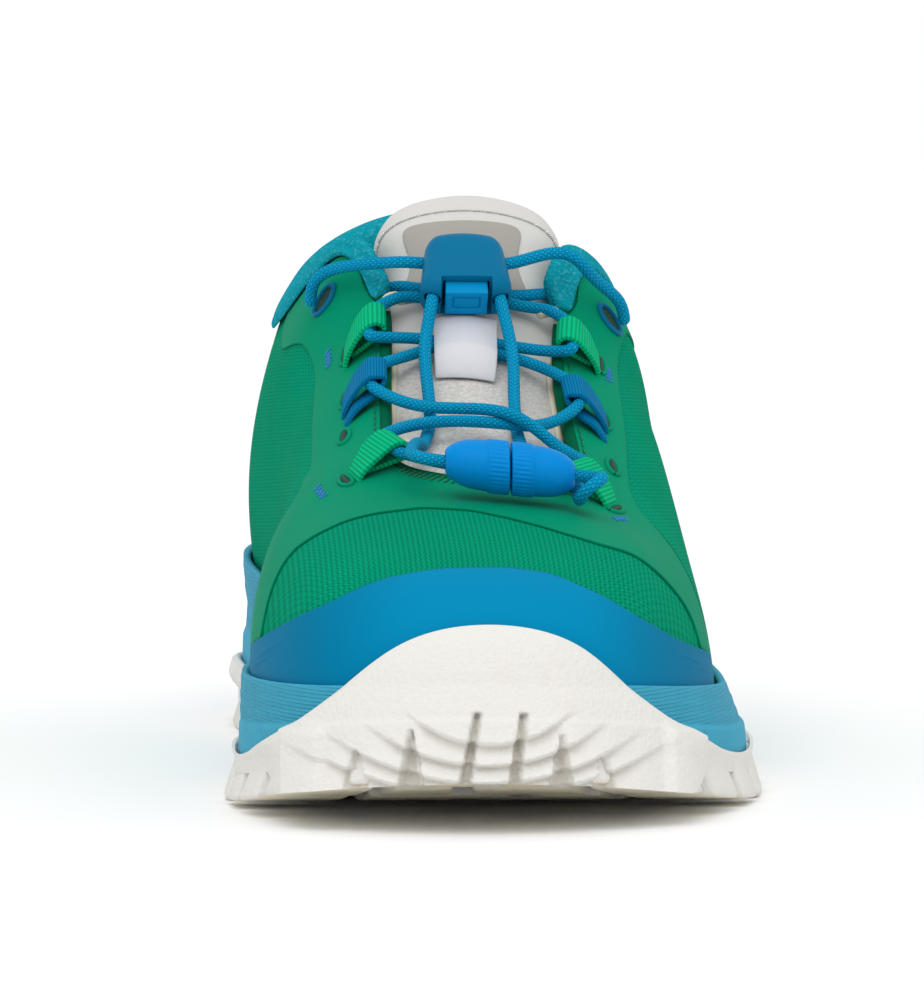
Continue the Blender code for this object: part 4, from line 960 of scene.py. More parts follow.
def coat(made, *finishes):
    """Give a piece its materials, in order."""
    for finish in finishes:
        made.data.materials.append(finish.material)


def dress(made, finish, stands_for=(), body="shoe", angle=None):
    """A piece's finish unless it is coated already, its shading, body and the solids it stands for."""
    if finish:
        coat(made, finish)
    pick(made)
    if angle is None:
        bpy.ops.object.shade_smooth()
    else:
        bpy.ops.object.shade_smooth_by_angle(angle=math.radians(angle))
    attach(made, body)
    if stands_for:
        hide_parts(*stands_for)
    return made


def soften(made, width, segments, angle):
    """Round the edges that are sharper than an angle."""
    sharp = math.radians(angle)
    shape(made, "BEVEL", width=width * MM, segments=segments, limit_method="ANGLE", angle_limit=sharp)


def join(name, pieces):
    """Several pieces made one, under one name."""
    pick(pieces[0])
    for piece in pieces:
        piece.select_set(True)
    if len(pieces) > 1:
        bpy.ops.object.join()
    made = bpy.context.active_object
    made.name = name
    made.data.name = name
    return made


def spread(at):
    """Places along a list of chosen rows, read from 0 to 1."""
    at = np.array(at, dtype=float)
    return lambda u: at[np.rint(u * (len(at) - 1)).astype(int)]


def tube(name, points, radius, sides=10, spacing=0.8, flat=1.0, ends=True):
    """A cord along a smooth route, with round ends; its UV is turns round it and millimetres along it."""
    count = max(4, int(along_path(points, 2)[1] / spacing))
    line, length = along_path(points, count)
    head = unit(np.gradient(line, axis=0))
    normal = np.zeros_like(line)
    normal[0] = unit(np.cross(head[0], (0.31, 0.2, 0.93)))
    for i in range(1, count):
        normal[i] = unit(normal[i - 1] - head[i] * np.dot(normal[i - 1], head[i]))
    other = np.cross(head, normal)
    extra = 3 if ends else 0
    rows = count - 1 + 2 * extra

    def place(u, v):
        k = np.rint(v * rows).astype(int)
        i = np.clip(k - extra, 0, count - 1)
        past = np.where(k < extra, k - extra, np.where(k > rows - extra, k - rows + extra, 0))
        lean = np.abs(past) / max(extra, 1) * (math.pi / 2.0)
        size = radius * np.cos(lean)
        push = np.sign(past) * radius * np.sin(lean)
        a = u * TAU
        ring = np.cos(a)[:, None] * normal[i] + flat * np.sin(a)[:, None] * other[i]
        return line[i] + size[:, None] * ring + push[:, None] * head[i]

    def weave(u, v, points):
        k = np.clip(np.rint(v * rows) - extra, 0, count - 1)
        return u, k * length / (count - 1)
    return grid_piece(name, sides, rows, place, weave), line, length


# Camera, light and floor

def set_stage():
    scene = bpy.context.scene
    camera = bpy.data.objects.new("photo_camera", bpy.data.cameras.new("photo_camera"))
    scene.collection.objects.link(camera)
    camera.location = CAMERA_AT
    camera.rotation_euler = (math.radians(90.0 - CAMERA_DOWN), 0.0, math.radians(CAMERA_TURN))
    camera.data.lens = CAMERA_LENS
    camera.data.sensor_width = CAMERA_SENSOR
    camera.data.clip_end = 50.0
    scene.camera = camera
    scene.view_settings.view_transform = "Standard"
    # The world is dimmer as a light than it looks behind the shoe
    world = bpy.data.worlds.new("studio")
    scene.world = world
    world.use_nodes = True
    nodes = world.node_tree.nodes
    link = world.node_tree.links.new
    ambient = nodes["Background"]
    backdrop = nodes.new("ShaderNodeBackground")
    for light in (ambient, backdrop):
        light.inputs["Color"].default_value = (1.0, 1.0, 1.0, 1.0)
    ambient.inputs["Strength"].default_value = AMBIENT
    seen = nodes.new("ShaderNodeLightPath")
    blend = nodes.new("ShaderNodeMixShader")
    link(seen.outputs["Is Camera Ray"], blend.inputs[0])
    link(ambient.outputs[0], blend.inputs[1])
    link(backdrop.outputs[0], blend.inputs[2])
    link(blend.outputs[0], nodes["World Output"].inputs["Surface"])
    for name, tilt, turn, softness, power in LIGHTS:
        data = bpy.data.lights.new(name, "SUN")
        data.angle = math.radians(softness)
        data.energy = power
        lamp = bpy.data.objects.new(name, data)
        scene.collection.objects.link(lamp)
        lamp.location = (0.0, -1.0, 1.5)
        lamp.rotation_euler = (math.radians(tilt), 0.0, math.radians(turn))
    bpy.ops.object.select_all(action="DESELECT")
    bpy.ops.mesh.primitive_plane_add(size=12.0, location=(0.0, 0.0, 0.0))
    floor = bpy.context.active_object
    floor.name = "studio_floor"
    pale = Finish("pale_floor", 0.9, Specular_IOR_Level=0.1)
    pale.shader.inputs["Base Color"].default_value = (0.97, 0.97, 0.97, 1.0)
    coat(floor, pale)


# Cords first: free runs of the lace from the slots to the lock and from it to the barrel

def cord_routes():
    """Points of each cord's route, as in the part's own source.

    The two tails end a little further into the barrel than their solids do.
    """
    routes = {}
    medial, lateral = SLOT_ROWS
    routes["cord_slot_medial"] = [
        skin(medial, SLOT_SHARE - 0.02, ON_FILM + 1.3),
        skin(medial, SLOT_SHARE + 0.03, 4.4),
        skin(medial - 0.15, 0.92, 4.7),
        skin(medial - 0.5, 0.985, 5.2),
        on_lock(-13.0, 4.4, 0.0),
        on_lock(-8.0, 3.95, 0.2),
        on_lock(-4.2, 3.9, 0.2),
    ]
    routes["cord_slot_lateral"] = [
        skin(lateral, SLOT_SHARE - 0.02, ON_FILM + 1.3),
        skin(lateral, SLOT_SHARE + 0.04, 4.7),
        skin(lateral + 0.15, 0.965, 6.2),
        (21.0, 18.0, 96.6),
        (16.6, 17.4, 98.4),
        on_lock(12.0, 5.2, 0.2),
        on_lock(8.0, 3.95, 0.2),
        on_lock(4.2, 3.9, 0.2),
    ]
    routes["cord_tail_medial"] = [
        on_lock(-6.6, -3.4, 0.8),
        on_lock(-6.6, -7.5, 0.8),
        tongue(-0.155, 0.50, 6.0),
        tongue(-0.155, 0.435, 3.9),
        tongue(-0.155, 0.37, 1.85),
        tongue(-0.165, 0.275, 1.75),
        tongue(-0.19, 0.21, 3.4),
        barrel_point(-16.4, 18.5, 0.10),
        barrel_point(-18.0, 7.0, 0.12),
        barrel_point(-17.2, 2.0, 0.15),
        barrel_point(-15.0, 0.2, 0.2),
        barrel_point(-11.6, 0.0, 0.0),
    ]
    routes["cord_tail_lateral"] = [
        on_lock(6.6, -3.4, 0.8),
        on_lock(6.6, -7.5, 0.8),
        tongue(0.105, 0.50, 6.0),
        tongue(0.113, 0.435, 3.9),
        tongue(0.115, 0.37, 1.9),
        tongue(0.115, 0.29, 1.75),
        tongue(0.13, 0.215, 2.8),
        barrel_point(6.8, 17.5, 0.13),
        barrel_point(11.9, 6.8, 0.0),
        barrel_point(12.9, 4.1, -1.55),
        barrel_point(13.4, 5.5, -2.55),
        barrel_point(15.7, 4.9, -3.0),
        barrel_point(17.0, 2.3, -3.2),
        barrel_point(15.2, 0.0, 0.0),
        barrel_point(11.6, 0.0, 0.0),
    ]
    return routes


def make_cords():
    for name, route in cord_routes().items():
        made, line, length = tube(name + "_braid", route, 0.48 * LACE, 12, 0.6)
        dress(made, lace_braid, [name])


def lace_half(way):
    """Route of one half of the lace from the middle of the bottom bar to the collar's gap."""
    low = way * LOOP_ROWS[2][2]
    blue = -way * LOOP_ROWS[1][2]
    top = way * LOOP_ROWS[0][2]

    def eye(s, along):
        """Point in a loop, or a little before or past it."""
        return throat_point(s, -0.9 if abs(along) < 4.9 else -1.5, 2.35, along)
    start = 0.5 * (eye(LOOP_ROWS[2][2], -6.5) + eye(-LOOP_ROWS[2][2], -6.5)) + np.array((0.0, 2.0, -0.6))
    over = -1.15 * way
    return [
        start,
        0.5 * (start + eye(low, -6.5)) + np.array((0.0, 0.0, -0.2)),
        eye(low, -4.6),
        eye(low, 0.0),
        eye(low, 4.6),
        tongue(way * -0.18 + 0.03, 0.262, 4.7),
        tongue(0.05, 0.298, 5.6 + over),
        tongue(way * 0.19 + 0.02, 0.362, 4.5),
        eye(blue, -4.2),
        eye(blue, 0.0),
        eye(blue, 4.2),
        tongue(way * 0.18, 0.512, 2.7),
        tongue(-0.03, 0.530, 2.2 + 0.6 * over),
        tongue(way * -0.20, 0.541, 3.2),
        eye(top, -4.6),
        eye(top, 0.0),
        eye(top, 4.6),
        tongue(way * -0.25, 0.656, 5.2),
        tongue(way * -0.15, 0.672, 3.0),
        tongue(-0.02, 0.685, 2.9 + 0.5 * over),
        tongue(way * 0.16, 0.700, 2.9),
        tongue(way * 0.32, 0.726, 2.3),
        tongue(way * 0.50, 0.742, 1.7),
        tongue(way * 0.66, 0.752, 0.9),
    ]


def make_lace():
    halves = [tube("lace_half", lace_half(way), 0.46 * LACE, 12, 0.6)[0] for way in (1.0, -1.0)]
    dress(join("lace_run", halves), lace_braid, ["lace_crossings"])


# Upper and its layers

def make_upper():
    """The hollow knit shell with its lining; the knit lies level on the vamp and slants on the sides."""
    def place(u, v):
        return skin((v * TURN) % TURN, u, 0.0)

    def weave(u, v, p):
        s = signed(v * TURN)
        vamp = np.abs(s) < 5.0
        slant = 0.7 * (p[:, 2] + p[:, 1]), 0.7 * (p[:, 2] - p[:, 1])
        return np.where(vamp, p[:, 0], slant[0]), np.where(vamp, p[:, 1] + 0.35 * p[:, 2], slant[1])
    made = grid_piece("knit_upper", 56, 340, place, weave)
    coat(made, knit_mesh, shoe_lining, rim_green)
    shape(made, "SOLIDIFY", thickness=WALL * MM, offset=-1.0, material_offset=1, material_offset_rim=2)
    dress(made, None, ["upper"])


def layer(name, at, low, high, inner, outer, rows, marks=None, bend=None):
    """A thin layer over the upper between two shares and two lifts."""
    row = spread(at)

    def place(u, v):
        s = row(v)
        t = low(s) + u * (high(s) - low(s))
        lift = outer if bend is None else outer + bend(s, t)
        return skin(s, t, lift)
    made = grid_piece(name, rows, len(at) - 1, place, plan_weave, marks, merge=False)
    shape(made, "SOLIDIFY", thickness=(outer - inner) * MM, offset=-1.0)
    return made


def make_film():
    """Film round the throat, with an arm down each side."""
    edge = table_curve(FILM_EDGE)
    top = table_curve(FILM_TOP)
    cap = table_curve(CAP_EDGE)

    def low(s):
        clear = np.maximum(np.where(np.abs(s) < CAP_ENDS, cap(s), 0.0), sole_ring(s)[..., 0]) + 0.25
        return np.minimum(np.maximum(edge(s), share_at(s, clear)), top(s) - 0.01)
    # Rows lie closer where the film's arms run down to the sole
    spans = [(-11.98, -5.3, 0.08), (-5.3, -3.6, 0.025), (-3.6, 3.2, 0.06), (3.2, 5.9, 0.025),
             (5.9, 12.08, 0.08)]
    fine = np.concatenate([np.arange(*span) for span in spans])

    def marks(u, v, p):
        seam = 0.45 + 0.55 * smooth((3.9 - np.abs(spread(fine)(v))) / 0.5)
        return {"edge": seam * np.clip(1.0 - u / 0.016, 0.0, 1.0)}
    made = layer("throat_film", fine, low, top, 0.02, FILM_FACE, 44, marks)
    dress(made, film_green, ["saddle"])


def make_cap():
    """Blue overlay round the toe, from the midsole's rim to its own edge."""
    cap = table_curve(CAP_EDGE)

    def low(s):
        return share_at(s, sole_ring(s)[..., 0] - 0.6)

    def high(s):
        return share_at(s, np.maximum(cap(s), sole_ring(s)[..., 0] + 1.8))

    def creases(s, t):
        """Fine pinched lines below the cap's upper edge, near its ends."""
        swell = 0.0 * s
        for below, width, centre in ((0.045, 0.006, 3.35), (0.065, 0.005, 3.7)):
            line = bell((t - high(s) + below) / width)
            swell += 0.22 * line * bell((np.abs(s) - centre) / 0.42)
        return swell

    def marks(u, v, p):
        return {"edge": 0.4 * np.clip(1.0 - (1.0 - u) / 0.04, 0.0, 1.0)}
    at = np.arange(-CAP_ENDS, CAP_ENDS + 0.01, 0.03)
    made = layer("toe_cap_film", at, low, high, 0.1, 0.9, 34, marks, creases)
    dress(made, film_cap, ["toe_cap"])


def make_collar():
    """Padded cuff round the ankle opening: a closed outline swept from its front end to the other."""
    first = COLLAR_FROM
    last = TURN - COLLAR_FROM
    lip = table_curve(LIP)

    def outline(s, fade, slim):
        """Out and past of the pad's outline at each row, a column for each of its points."""
        reach = lip(np.minimum(s, TURN - s))
        points = [(out, past * reach) for out, past in PAD_LIP]
        points += [(-0.4 + (out + 0.4) * np.maximum(fade, 0.6), past * slim) for out, past in PAD_CREST]
        for out, past in PAD_INNER:
            drawn = -2.3 + (out + 2.3) * fade if out < -2.4 else out
            points.append((drawn, past * fade if past < 0.0 else past))
        points += [(-1.0, 0.3), (0.4, 0.3)]
        return [np.stack([np.broadcast_to(p[k], s.shape) for p in points], -1) for k in (0, 1)]

    def place(u, v):
        s = first + v * (last - first)
        near = np.minimum(s - first, last - s)
        fade = np.minimum(1.0, 0.3 + 0.7 * near / COLLAR_FADE)
        outs, pasts = outline(s, fade, 0.85 + 0.15 * smooth(near / 1.5))
        count = outs.shape[1]
        at = u * count
        w = at - np.floor(at)
        index = np.floor(at).astype(int)
        rows = np.arange(len(s))

        def read(values):
            """Smooth closed curve through the outline's points."""
            before, a, b, after = (values[rows, (index + k) % count] for k in (-1, 0, 1, 2))
            return 0.5 * ((-w + 2 * w ** 2 - w ** 3) * before + (2 - 5 * w ** 2 + 3 * w ** 3) * a
                          + (w + 4 * w ** 2 - 3 * w ** 3) * b + (-w ** 2 + w ** 3) * after)
        closed = round_end(1.0 - near / 0.16)
        out = -0.6 + (read(outs) + 0.6) * closed
        past = 1.0 + (read(pasts) - 1.0) * closed
        c, d = section(s)[2:]
        edge = np.linalg.norm(d - c, axis=-1)
        down = skin(s, 1.0 + np.minimum(past, 0.0) / (3.0 * edge), out)
        lean = unit(0.4 * (d - c) / edge[:, None] + 0.6 * UP)
        # The crest stands higher at the lateral front end
        crest = 1.0 + np.maximum(0.0, 1.0 - (last - s) / COLLAR_FADE)
        return down + (np.maximum(past, 0.0) * crest)[:, None] * lean
    made = grid_piece("collar_pad", 40, 240, place, lambda u, v, p: (p[:, 1], p[:, 2]))
    join_seams(made, True)
    dress(made, collar_knit, ["collar_cuff"])


# Sole

def ring_rows(fine, toe, coarse):
    """Rows round the shoe, closer together within a reach of the toe."""
    spans = [(0.0, toe, fine), (toe, TURN - toe, coarse), (TURN - toe, TURN, fine)]
    return np.concatenate([np.arange(*span) for span in spans] + [[TURN]])


def make_midsole():
    """Foam cup: closed underneath, stepped and ribbed side, rim tucked in against the upper."""
    at = ring_rows(0.05, 3.0, 0.1)
    row = spread(at)
    levels = 60
    under = 3.0
    tucked = 5.0
    shares, flares, steps = zip(*MID_SIDE)

    def share_of(u):
        return np.clip((np.rint(u * levels) - under) / (levels - under - tucked), 0.0, 1.0)

    def place(u, v):
        s = row(v) % TURN
        sole = sole_ring(s)
        foot = plate_top(foot_ring(s)[:, 1]) + GAP
        k = np.rint(u * levels)
        share = share_of(u)
        z = foot + share * (sole[:, 0] - foot)
        out = RIM_OUT + np.interp(share, shares, flares) * (sole[:, 2] - RIM_OUT)
        out = out + 0.25 * np.interp(share, shares, steps)
        out = out - 2.4 * smooth((2.0 - np.abs(signed(s))) / 0.4) * smooth((sole[:, 1] - 5.0 - z) / 3.0)
        for start, lean, high, deep in MID_CREASES:
            off = (s - start) - lean * (share - high)
            out = out - deep * bell(off / 0.07) * bell((share - high) / 0.16)
        p = side(s, z, out)
        tuck = side(s, sole[:, 0] - 0.4 * (k - levels + tucked), GAP + 0.2)
        p = np.where((k > levels - tucked)[:, None], tuck, p)
        w = (k / under)[:, None]
        bottom = middle(s, lambda y: plate_top(y) + GAP) * (1.0 - w) + p * w
        return np.where((k < under)[:, None], bottom, p)

    def weave(u, v, p):
        return row(v) * 15.0, p[:, 2]

    def marks(u, v, p):
        share = share_of(u)
        return {"ribbed": smooth((share - 0.44) / 0.06) * smooth((1.0 - share) / 0.04)}
    made = grid_piece("midsole_body", levels, len(at) - 1, place, weave, marks)
    dress(made, midsole_foam, ["midsole"])


def toe_share(s):
    """How far the outsole's wall runs down to the lugs' bottoms: full round the toe."""
    return smooth((2.9 - np.abs(signed(s))) / 0.7)


def toe_relief(x, z, s):
    """Steps, grooves and notches of the toe bumper, as a shift outwards."""
    shift = 0.0 * x
    # Each step drops in at its arc and comes back out some way below it
    for left, right, ends, mid, deep in TOE_ARCS:
        off = np.abs(x - 0.5 * (left + right)) / (0.5 * (right - left))
        line = mid + (ends - mid) * np.minimum(off, 1.0) ** 2.2
        fade = np.clip((1.0 - off) * 3.5, 0.0, 1.0)
        below = line - z
        shift += fade * np.where(below > 0.0, -deep * np.exp(-below / 3.2) * smooth(below / 0.9),
                                 0.35 * np.exp(below / 1.6))
    # Grooves and notches start at their top and widen downwards
    for x0, z0, x1, z1, half0, half1, deep in TOE_CUTS:
        w = np.clip((z0 - z) / (z0 - z1), 0.0, 1.3)
        centre = x0 + w * (x1 - x0)
        half = half0 + w * (half1 - half0)
        shift -= deep * smooth((half - np.abs(x - centre)) / 0.7 + 0.5) * smooth((z0 - z) / 0.8)
    for left, right, high, proud in TOE_BLOCKS:
        shift += proud * smooth((x - left) / 1.2) * smooth((right - x) / 1.2) * smooth((high - z) / 3.0)
    return np.maximum(shift, -3.6) * smooth((3.3 - np.abs(signed(s))) / 0.5)


def make_outsole():
    """Rubber shell: plate underneath, wall with the toe bumper's relief, edge tucked in, and the lugs."""
    at = ring_rows(0.028, 2.8, 0.1)
    row = spread(at)
    levels = 110
    first = 6
    last = 4

    def wall_at(s, share):
        """Point of the wall: share 0 at its foot, 1 at its upper edge."""
        sole = sole_ring(s)
        y = foot_ring(s)[:, 1]
        foot = plate_top(y)
        low = plate_bottom(y) + 0.3 - toe_share(s) * (LUG - 0.2)
        z = low + share * (sole[:, 1] - low)
        height = np.clip((z - foot) / np.maximum(sole[:, 1] - foot, 1.0), 0.0, 1.0)
        out = mid_out(s, z) + np.interp(height, [0.0, 0.3, 0.62, 0.92, 1.0], [2.8, 2.8, 2.6, 2.1, 1.2])
        out = out - 2.2 * (1.0 - toe_share(s)) * smooth((foot + 4.0 - z) / 4.0)
        out = np.maximum(out, mid_out(s, z) + 0.7)
        flare = np.clip((foot - z) / LUG, 0.0, 1.5)
        out = out + 0.9 * flare * toe_share(s)
        p = side(s, z, out)
        relief = toe_relief(p[:, 0], z, s) * smooth((1.0 - share) / 0.1)
        return p + relief[:, None] * outward(s)

    def place(u, v):
        s = row(v) % TURN
        k = np.rint(u * levels)
        share = np.clip((k - first) / (levels - first - last), 0.0, 1.0)
        p = wall_at(s, share)
        start = middle(s, plate_bottom)
        base = wall_at(s, 0.0 * s)
        w = np.clip(k / first, 0.0, 1.0)[:, None]
        inset = base + np.array((0.0, 0.0, -0.3)) - 0.8 * outward(s)
        flat = start + (inset - start) * w ** 0.8
        p = np.where((k < first)[:, None], flat, p)
        sole = sole_ring(s)
        tuck = side(s, sole[:, 1] - 0.5 * (k - levels + last), mid_out(s, sole[:, 1]) + 0.3)
        return np.where((k > levels - last)[:, None], tuck, p)

    def marks(u, v, p):
        # Mark for the painted shade: how deep the toe relief cuts in.
        shift = toe_relief(p[:, 0], p[:, 2], row(v) % TURN)
        return {"groove": np.clip((-0.8 - shift) / 2.2, 0.0, 1.0)}
    made = grid_piece("outsole_shell", levels, len(at) - 1, place,
                      lambda u, v, p: (p[:, 0], p[:, 2]), marks)
    coat(made, white_rubber, ivory_rubber)
    both = join("outsole_rubber", [made, make_lugs()])
    dress(both, None, ["outsole"], angle=70)


def lug_edges():
    """Outer edges of the lugs as x against y, medial and lateral."""
    edges = []
    for sign in (1, -1):
        s = sign * np.arange(3 * ROWS - 2) / 3.0
        edge = foot_ring(s) + sole_ring(s)[:, 3, None] * outward(s)[:, :2]
        order = np.maximum.accumulate(edge[:, 1]) + 1e-6 * np.arange(len(edge))
        edges.append((order, edge[:, 0]))
    return edges


def make_lugs():
    """Flared lug blocks with their tops in the plate and rounded edges."""
    medial, lateral = lug_edges()
    bpy.ops.object.select_all(action="DESELECT")
    bpy.ops.mesh.primitive_cube_add(size=1.0)
    made = bpy.context.active_object
    made.name = "lug_blocks"
    blocks = []
    for front, back, sweep, clear, cuts in LUG_ROWS:
        # The middle groove wanders from row to row
        shift = 0.07 if blocks and len(blocks) % 8 == 0 else -0.05
        ends = (0.0,) + tuple(c + shift if c == 0.50 else c for c in cuts) + (1.0,)
        for a, b in zip(ends, ends[1:]):
            if a is None or b is None:
                continue
            corners = {}
            for y, iy in ((front, 0), (back, 1)):
                for share, half, ix in ((a, 1, 0), (b, -1, 1)):
                    left = np.interp(y, *medial)
                    right = np.interp(y, *lateral)
                    outer = share in (0.0, 1.0)
                    x = left + share * (right - left) + (0.0 if outer else half * LUG_GROOVE / 2)
                    along = y - sweep * (1.0 - abs(2.0 * share - 1.0))
                    # Outer faces lean in and run up the wall, less far at the toe
                    inward = half * LUG_LEAN if outer else -half * 0.5
                    high = 1.0 if not outer or y < -126.0 else (2.4 if y < -70.0 else 5.4)
                    corners[ix, iy, 0] = (x, along, ground(along) + clear)
                    corners[ix, iy, 1] = (x + inward, along, plate_bottom(along) + high)
            blocks.append(corners)
    bpy.ops.object.mode_set(mode="EDIT")
    for _ in blocks[1:]:
        bpy.ops.mesh.primitive_cube_add(size=1.0)
    bpy.ops.object.mode_set(mode="OBJECT")
    flat = np.empty(len(made.data.vertices) * 3, np.float32)
    made.data.vertices.foreach_get("co", flat)
    flat = flat.reshape(-1, 8, 3)
    for block, corners in zip(flat, blocks):
        for point in block:
            key = tuple(int(c > 0.0) for c in point)
            point[:] = np.array(corners[key]) * MM
    made.data.vertices.foreach_set("co", flat.ravel())
    shape(made, "BEVEL", width=LUG_ROUND * MM, segments=3, limit_method="NONE")
    coat(made, white_rubber, ivory_rubber)
    for face in made.data.polygons:
        face.material_index = 1 if face.normal.z < -0.6 else 0
    return made


def make_insole():
    """Loose footbed with a low brim."""
    # Height above the midsole's floor and inset from the upper's wall, from below round the brim to the top
    brim = [(GAP + 0.2, 1.8), (1.6, 1.2), (INSOLE_THICK + 1.2, 1.4), (INSOLE_THICK + 1.5, 2.4),
            (INSOLE_THICK + 0.5, 5.0), (INSOLE_THICK, 8.0)]
    count = len(brim) + 1

    def place(u, v):
        s = (v * TURN) % TURN
        k = np.rint(u * count)[:, None]
        bottom = middle(s, lambda y: footbed(y) + brim[0][0], 0.84)
        top = middle(s, lambda y: footbed(y) + brim[-1][0], 0.84)
        p = np.where(k == 0, bottom, top)
        for i, (rise, inset) in enumerate(brim, 1):
            p = np.where(k == i, side(s, footbed(foot_ring(s)[:, 1]) + rise, -WALL - inset), p)
        return p
    made = grid_piece("insole_bed", count, 170, place, plan_weave)
    join_seams(made, True)
    dress(made, insole_cloth, ["insole"])


# Tongue

def pad_section(turn, power=5.0):
    """Rounded flat outline: share across and share of the thickness."""
    a = turn * TAU
    across = np.cos(a)
    return across, np.sign(np.sin(a)) * (1.0 - np.abs(across) ** power) ** (1.0 / power)


def make_tongue():
    """Knit pad, and the pale cover over its upper half."""
    def thick(u):
        return TONGUE_THICK * (1.0 - 0.45 * np.abs(u) ** 4)

    def pad(u, v):
        across, up = pad_section(-u)
        half = 0.5 * thick(across) * round_end((v - 0.95) / 0.05)
        return tongue(across * 0.985, v * 0.96, -0.5 * thick(across) + half * up)
    made = grid_piece("tongue_pad", 72, 120, pad, plan_weave)
    join_seams(made, True)
    dress(made, tongue_knit, ["tongue"])

    def cover(u, v):
        across, up = pad_section(-u)
        reach = np.abs(across)
        low = 0.556 + 0.012 * np.cos(across * 9.0) * (reach < 0.34) + 0.02 * smooth((reach - 0.3) / 0.2)
        along = low + (1.0 - low) * v
        top = round_end((along - 0.968) / 0.032)
        base = 0.5 * thick(across)
        half = base * top + 0.5 * smooth(v / 0.012) * np.sqrt(top)
        return tongue(across * 0.996, along, -base + half * up)
    made = grid_piece("tongue_cover", 96, 140, cover, plan_weave)
    join_seams(made, True)
    dress(made, tongue_cover_skin)


def tongue_band(name, span, columns, rows, lifts, finish, stands_for, corner, thick):
    """A thin band on the tongue's face, with rounded corners."""
    u0, u1, v0, v1 = span

    def place(u, v):
        x = 2.0 * u - 1.0
        y = 2.0 * v - 1.0
        if corner:
            p = 2.0 / corner
            rounded = (np.abs(x) ** p + np.abs(y) ** p) ** (1.0 / p)
            size = np.maximum(np.abs(x), np.abs(y)) / np.maximum(rounded, 1e-9)
            x, y = x * size, y * size
        across = u0 + (0.5 + 0.5 * x) * (u1 - u0)
        along = v0 + (0.5 + 0.5 * y) * (v1 - v0)
        return tongue(across, along, lifts(0.5 + 0.5 * x, 0.5 + 0.5 * y))
    made = grid_piece(name, columns, rows, place, plan_weave, None, False)
    shape(made, "SOLIDIFY", thickness=thick * MM, offset=-1.0)
    soften(made, 0.16, 2, 50)
    return dress(made, finish, stands_for)


def make_tongue_bands():
    """Plate under the lock, arched lace keeper, edge strips and the seam near the top."""
    def level(x, y):
        return 0.95 + 0.0 * x
    tongue_band("lock_patch", PATCH_SPAN, 40, 40, level, patch_skin, ["tongue_plate"], 0.28, 0.5)

    def arch(x, y):
        end = np.minimum(1.0, 4.0 * np.minimum(y, 1.0 - y))
        return 0.7 + KEEPER_ARCH * np.sin(end * math.pi / 2.0) ** 0.8 + 0.8 * (4.0 * x * (1.0 - x)) * end
    tongue_band("lace_keeper_band", KEEPER_SPAN, 24, 48, arch, keeper_satin, ["lace_keeper"], 0.0, 0.7)
    for way, name in ((-1.0, "medial"), (1.0, "lateral")):
        points = [tongue(way * 0.315, v, 0.45) for v in np.linspace(0.15, 0.56, 14)]
        strip = tube("tongue_edge_" + name, points, 0.75, 8, 1.0, 0.6)[0]
        dress(strip, ivory_edge)
    stitches = []
    across = np.linspace(-0.86, 0.86, 80)
    line = tongue(across, 0.925 - 0.105 * across ** 2, 0.72)
    run = run_along(line)
    for start in np.arange(0.4, run[-1] - 2.2, 2.6):
        at = start + np.linspace(0.0, 2.0, 5)
        points = np.stack([np.interp(at, run, line[:, k]) for k in range(3)], -1)
        stitches.append(tube("stitch", points, 0.28, 6, 0.5)[0])
    dress(join("tongue_stitches", stitches), white_thread)


# Webbing, slits and stitches round the throat

def strap(name, route, across, widths, thick, wavy):
    """A flat webbing strap along a route, with its direction across and its width by row."""
    count = 64
    at = np.linspace(0.0, 1.0, count)
    line, length = along_path(route, count)
    wide = np.interp(at, np.linspace(0.0, 1.0, len(widths)), widths)
    across = unit(open_curve(across, at))

    def place(u, v):
        k = np.rint(v * (count - 1)).astype(int)
        ripple = 1.0 + wavy * np.sin(k * length / (count - 1) * TAU / 1.84)
        return line[k] + ((u - 0.5) * wide[k] * ripple)[:, None] * across[k]
    made = grid_piece(name, 10, count - 1, place, lambda u, v, p: (u * 6.8, v * length), None, False)
    shape(made, "SOLIDIFY", thickness=thick * MM, offset=0.0)
    soften(made, 0.22, 2, 50)
    return made


def make_loops():
    """Folded webbing loops at the throat's edge, three on each side."""
    for side_name, way in (("medial", 1.0), ("lateral", -1.0)):
        for level, hue, row, width in LOOP_ROWS:
            s = way * row
            route, ahead, behind = ([throat_point(s, *spot, along) for spot in LOOP_BAND]
                                    for along in (0.0, 1.0, -1.0))
            across = [a - b for a, b in zip(ahead, behind)]
            widths = [6.4, 6.8, 7.4, width, width, width, width * 0.96, width * 0.9, 5.6, 4.6, 3.6, 2.6]
            finish, thick, wavy = web_green, 0.95, 0.012
            if hue == "blue":
                route[8:] = [throat_point(s, *spot, -2.0 - 1.6 * k) for k, spot in enumerate(LOOP_TAIL)]
                across[8:] = across[:4]
                widths[:3] = [6.6, 7.2, 7.8]
                widths[6:8] = [7.4, 6.6]
                finish, thick, wavy = web_blue, 0.9, 0.01
            solid = "loop_%s_%s" % (level, side_name)
            dress(strap(solid + "_web", route, across, widths, thick, wavy), finish, [solid], angle=40)


def make_slits():
    """Slits in the film behind the loops: a raised welt round an opening filled with painted shadow."""
    welts = []
    slits = []
    turn = np.linspace(0.0, TAU, 25)
    along = np.linspace(-2.4, 2.4, 7)
    for s, t in SLITS:
        pace, rise = paces(s, t)
        ring = skin(s + 3.3 * np.cos(turn) / pace, t + 1.25 * np.sin(turn) / rise, FILM_FACE + 0.1)
        welts.append(tube("welt", ring, 0.5, 7, 0.4, ends=False)[0])
        opening = skin(s + along / pace, t + 0.0 * along, FILM_FACE - 0.1)
        slits.append(tube("slit", opening, 0.75, 8, 0.5)[0])
    dress(join("slit_welts", welts), film_green)
    dress(join("slit_openings", slits), painted_slit_shadow)


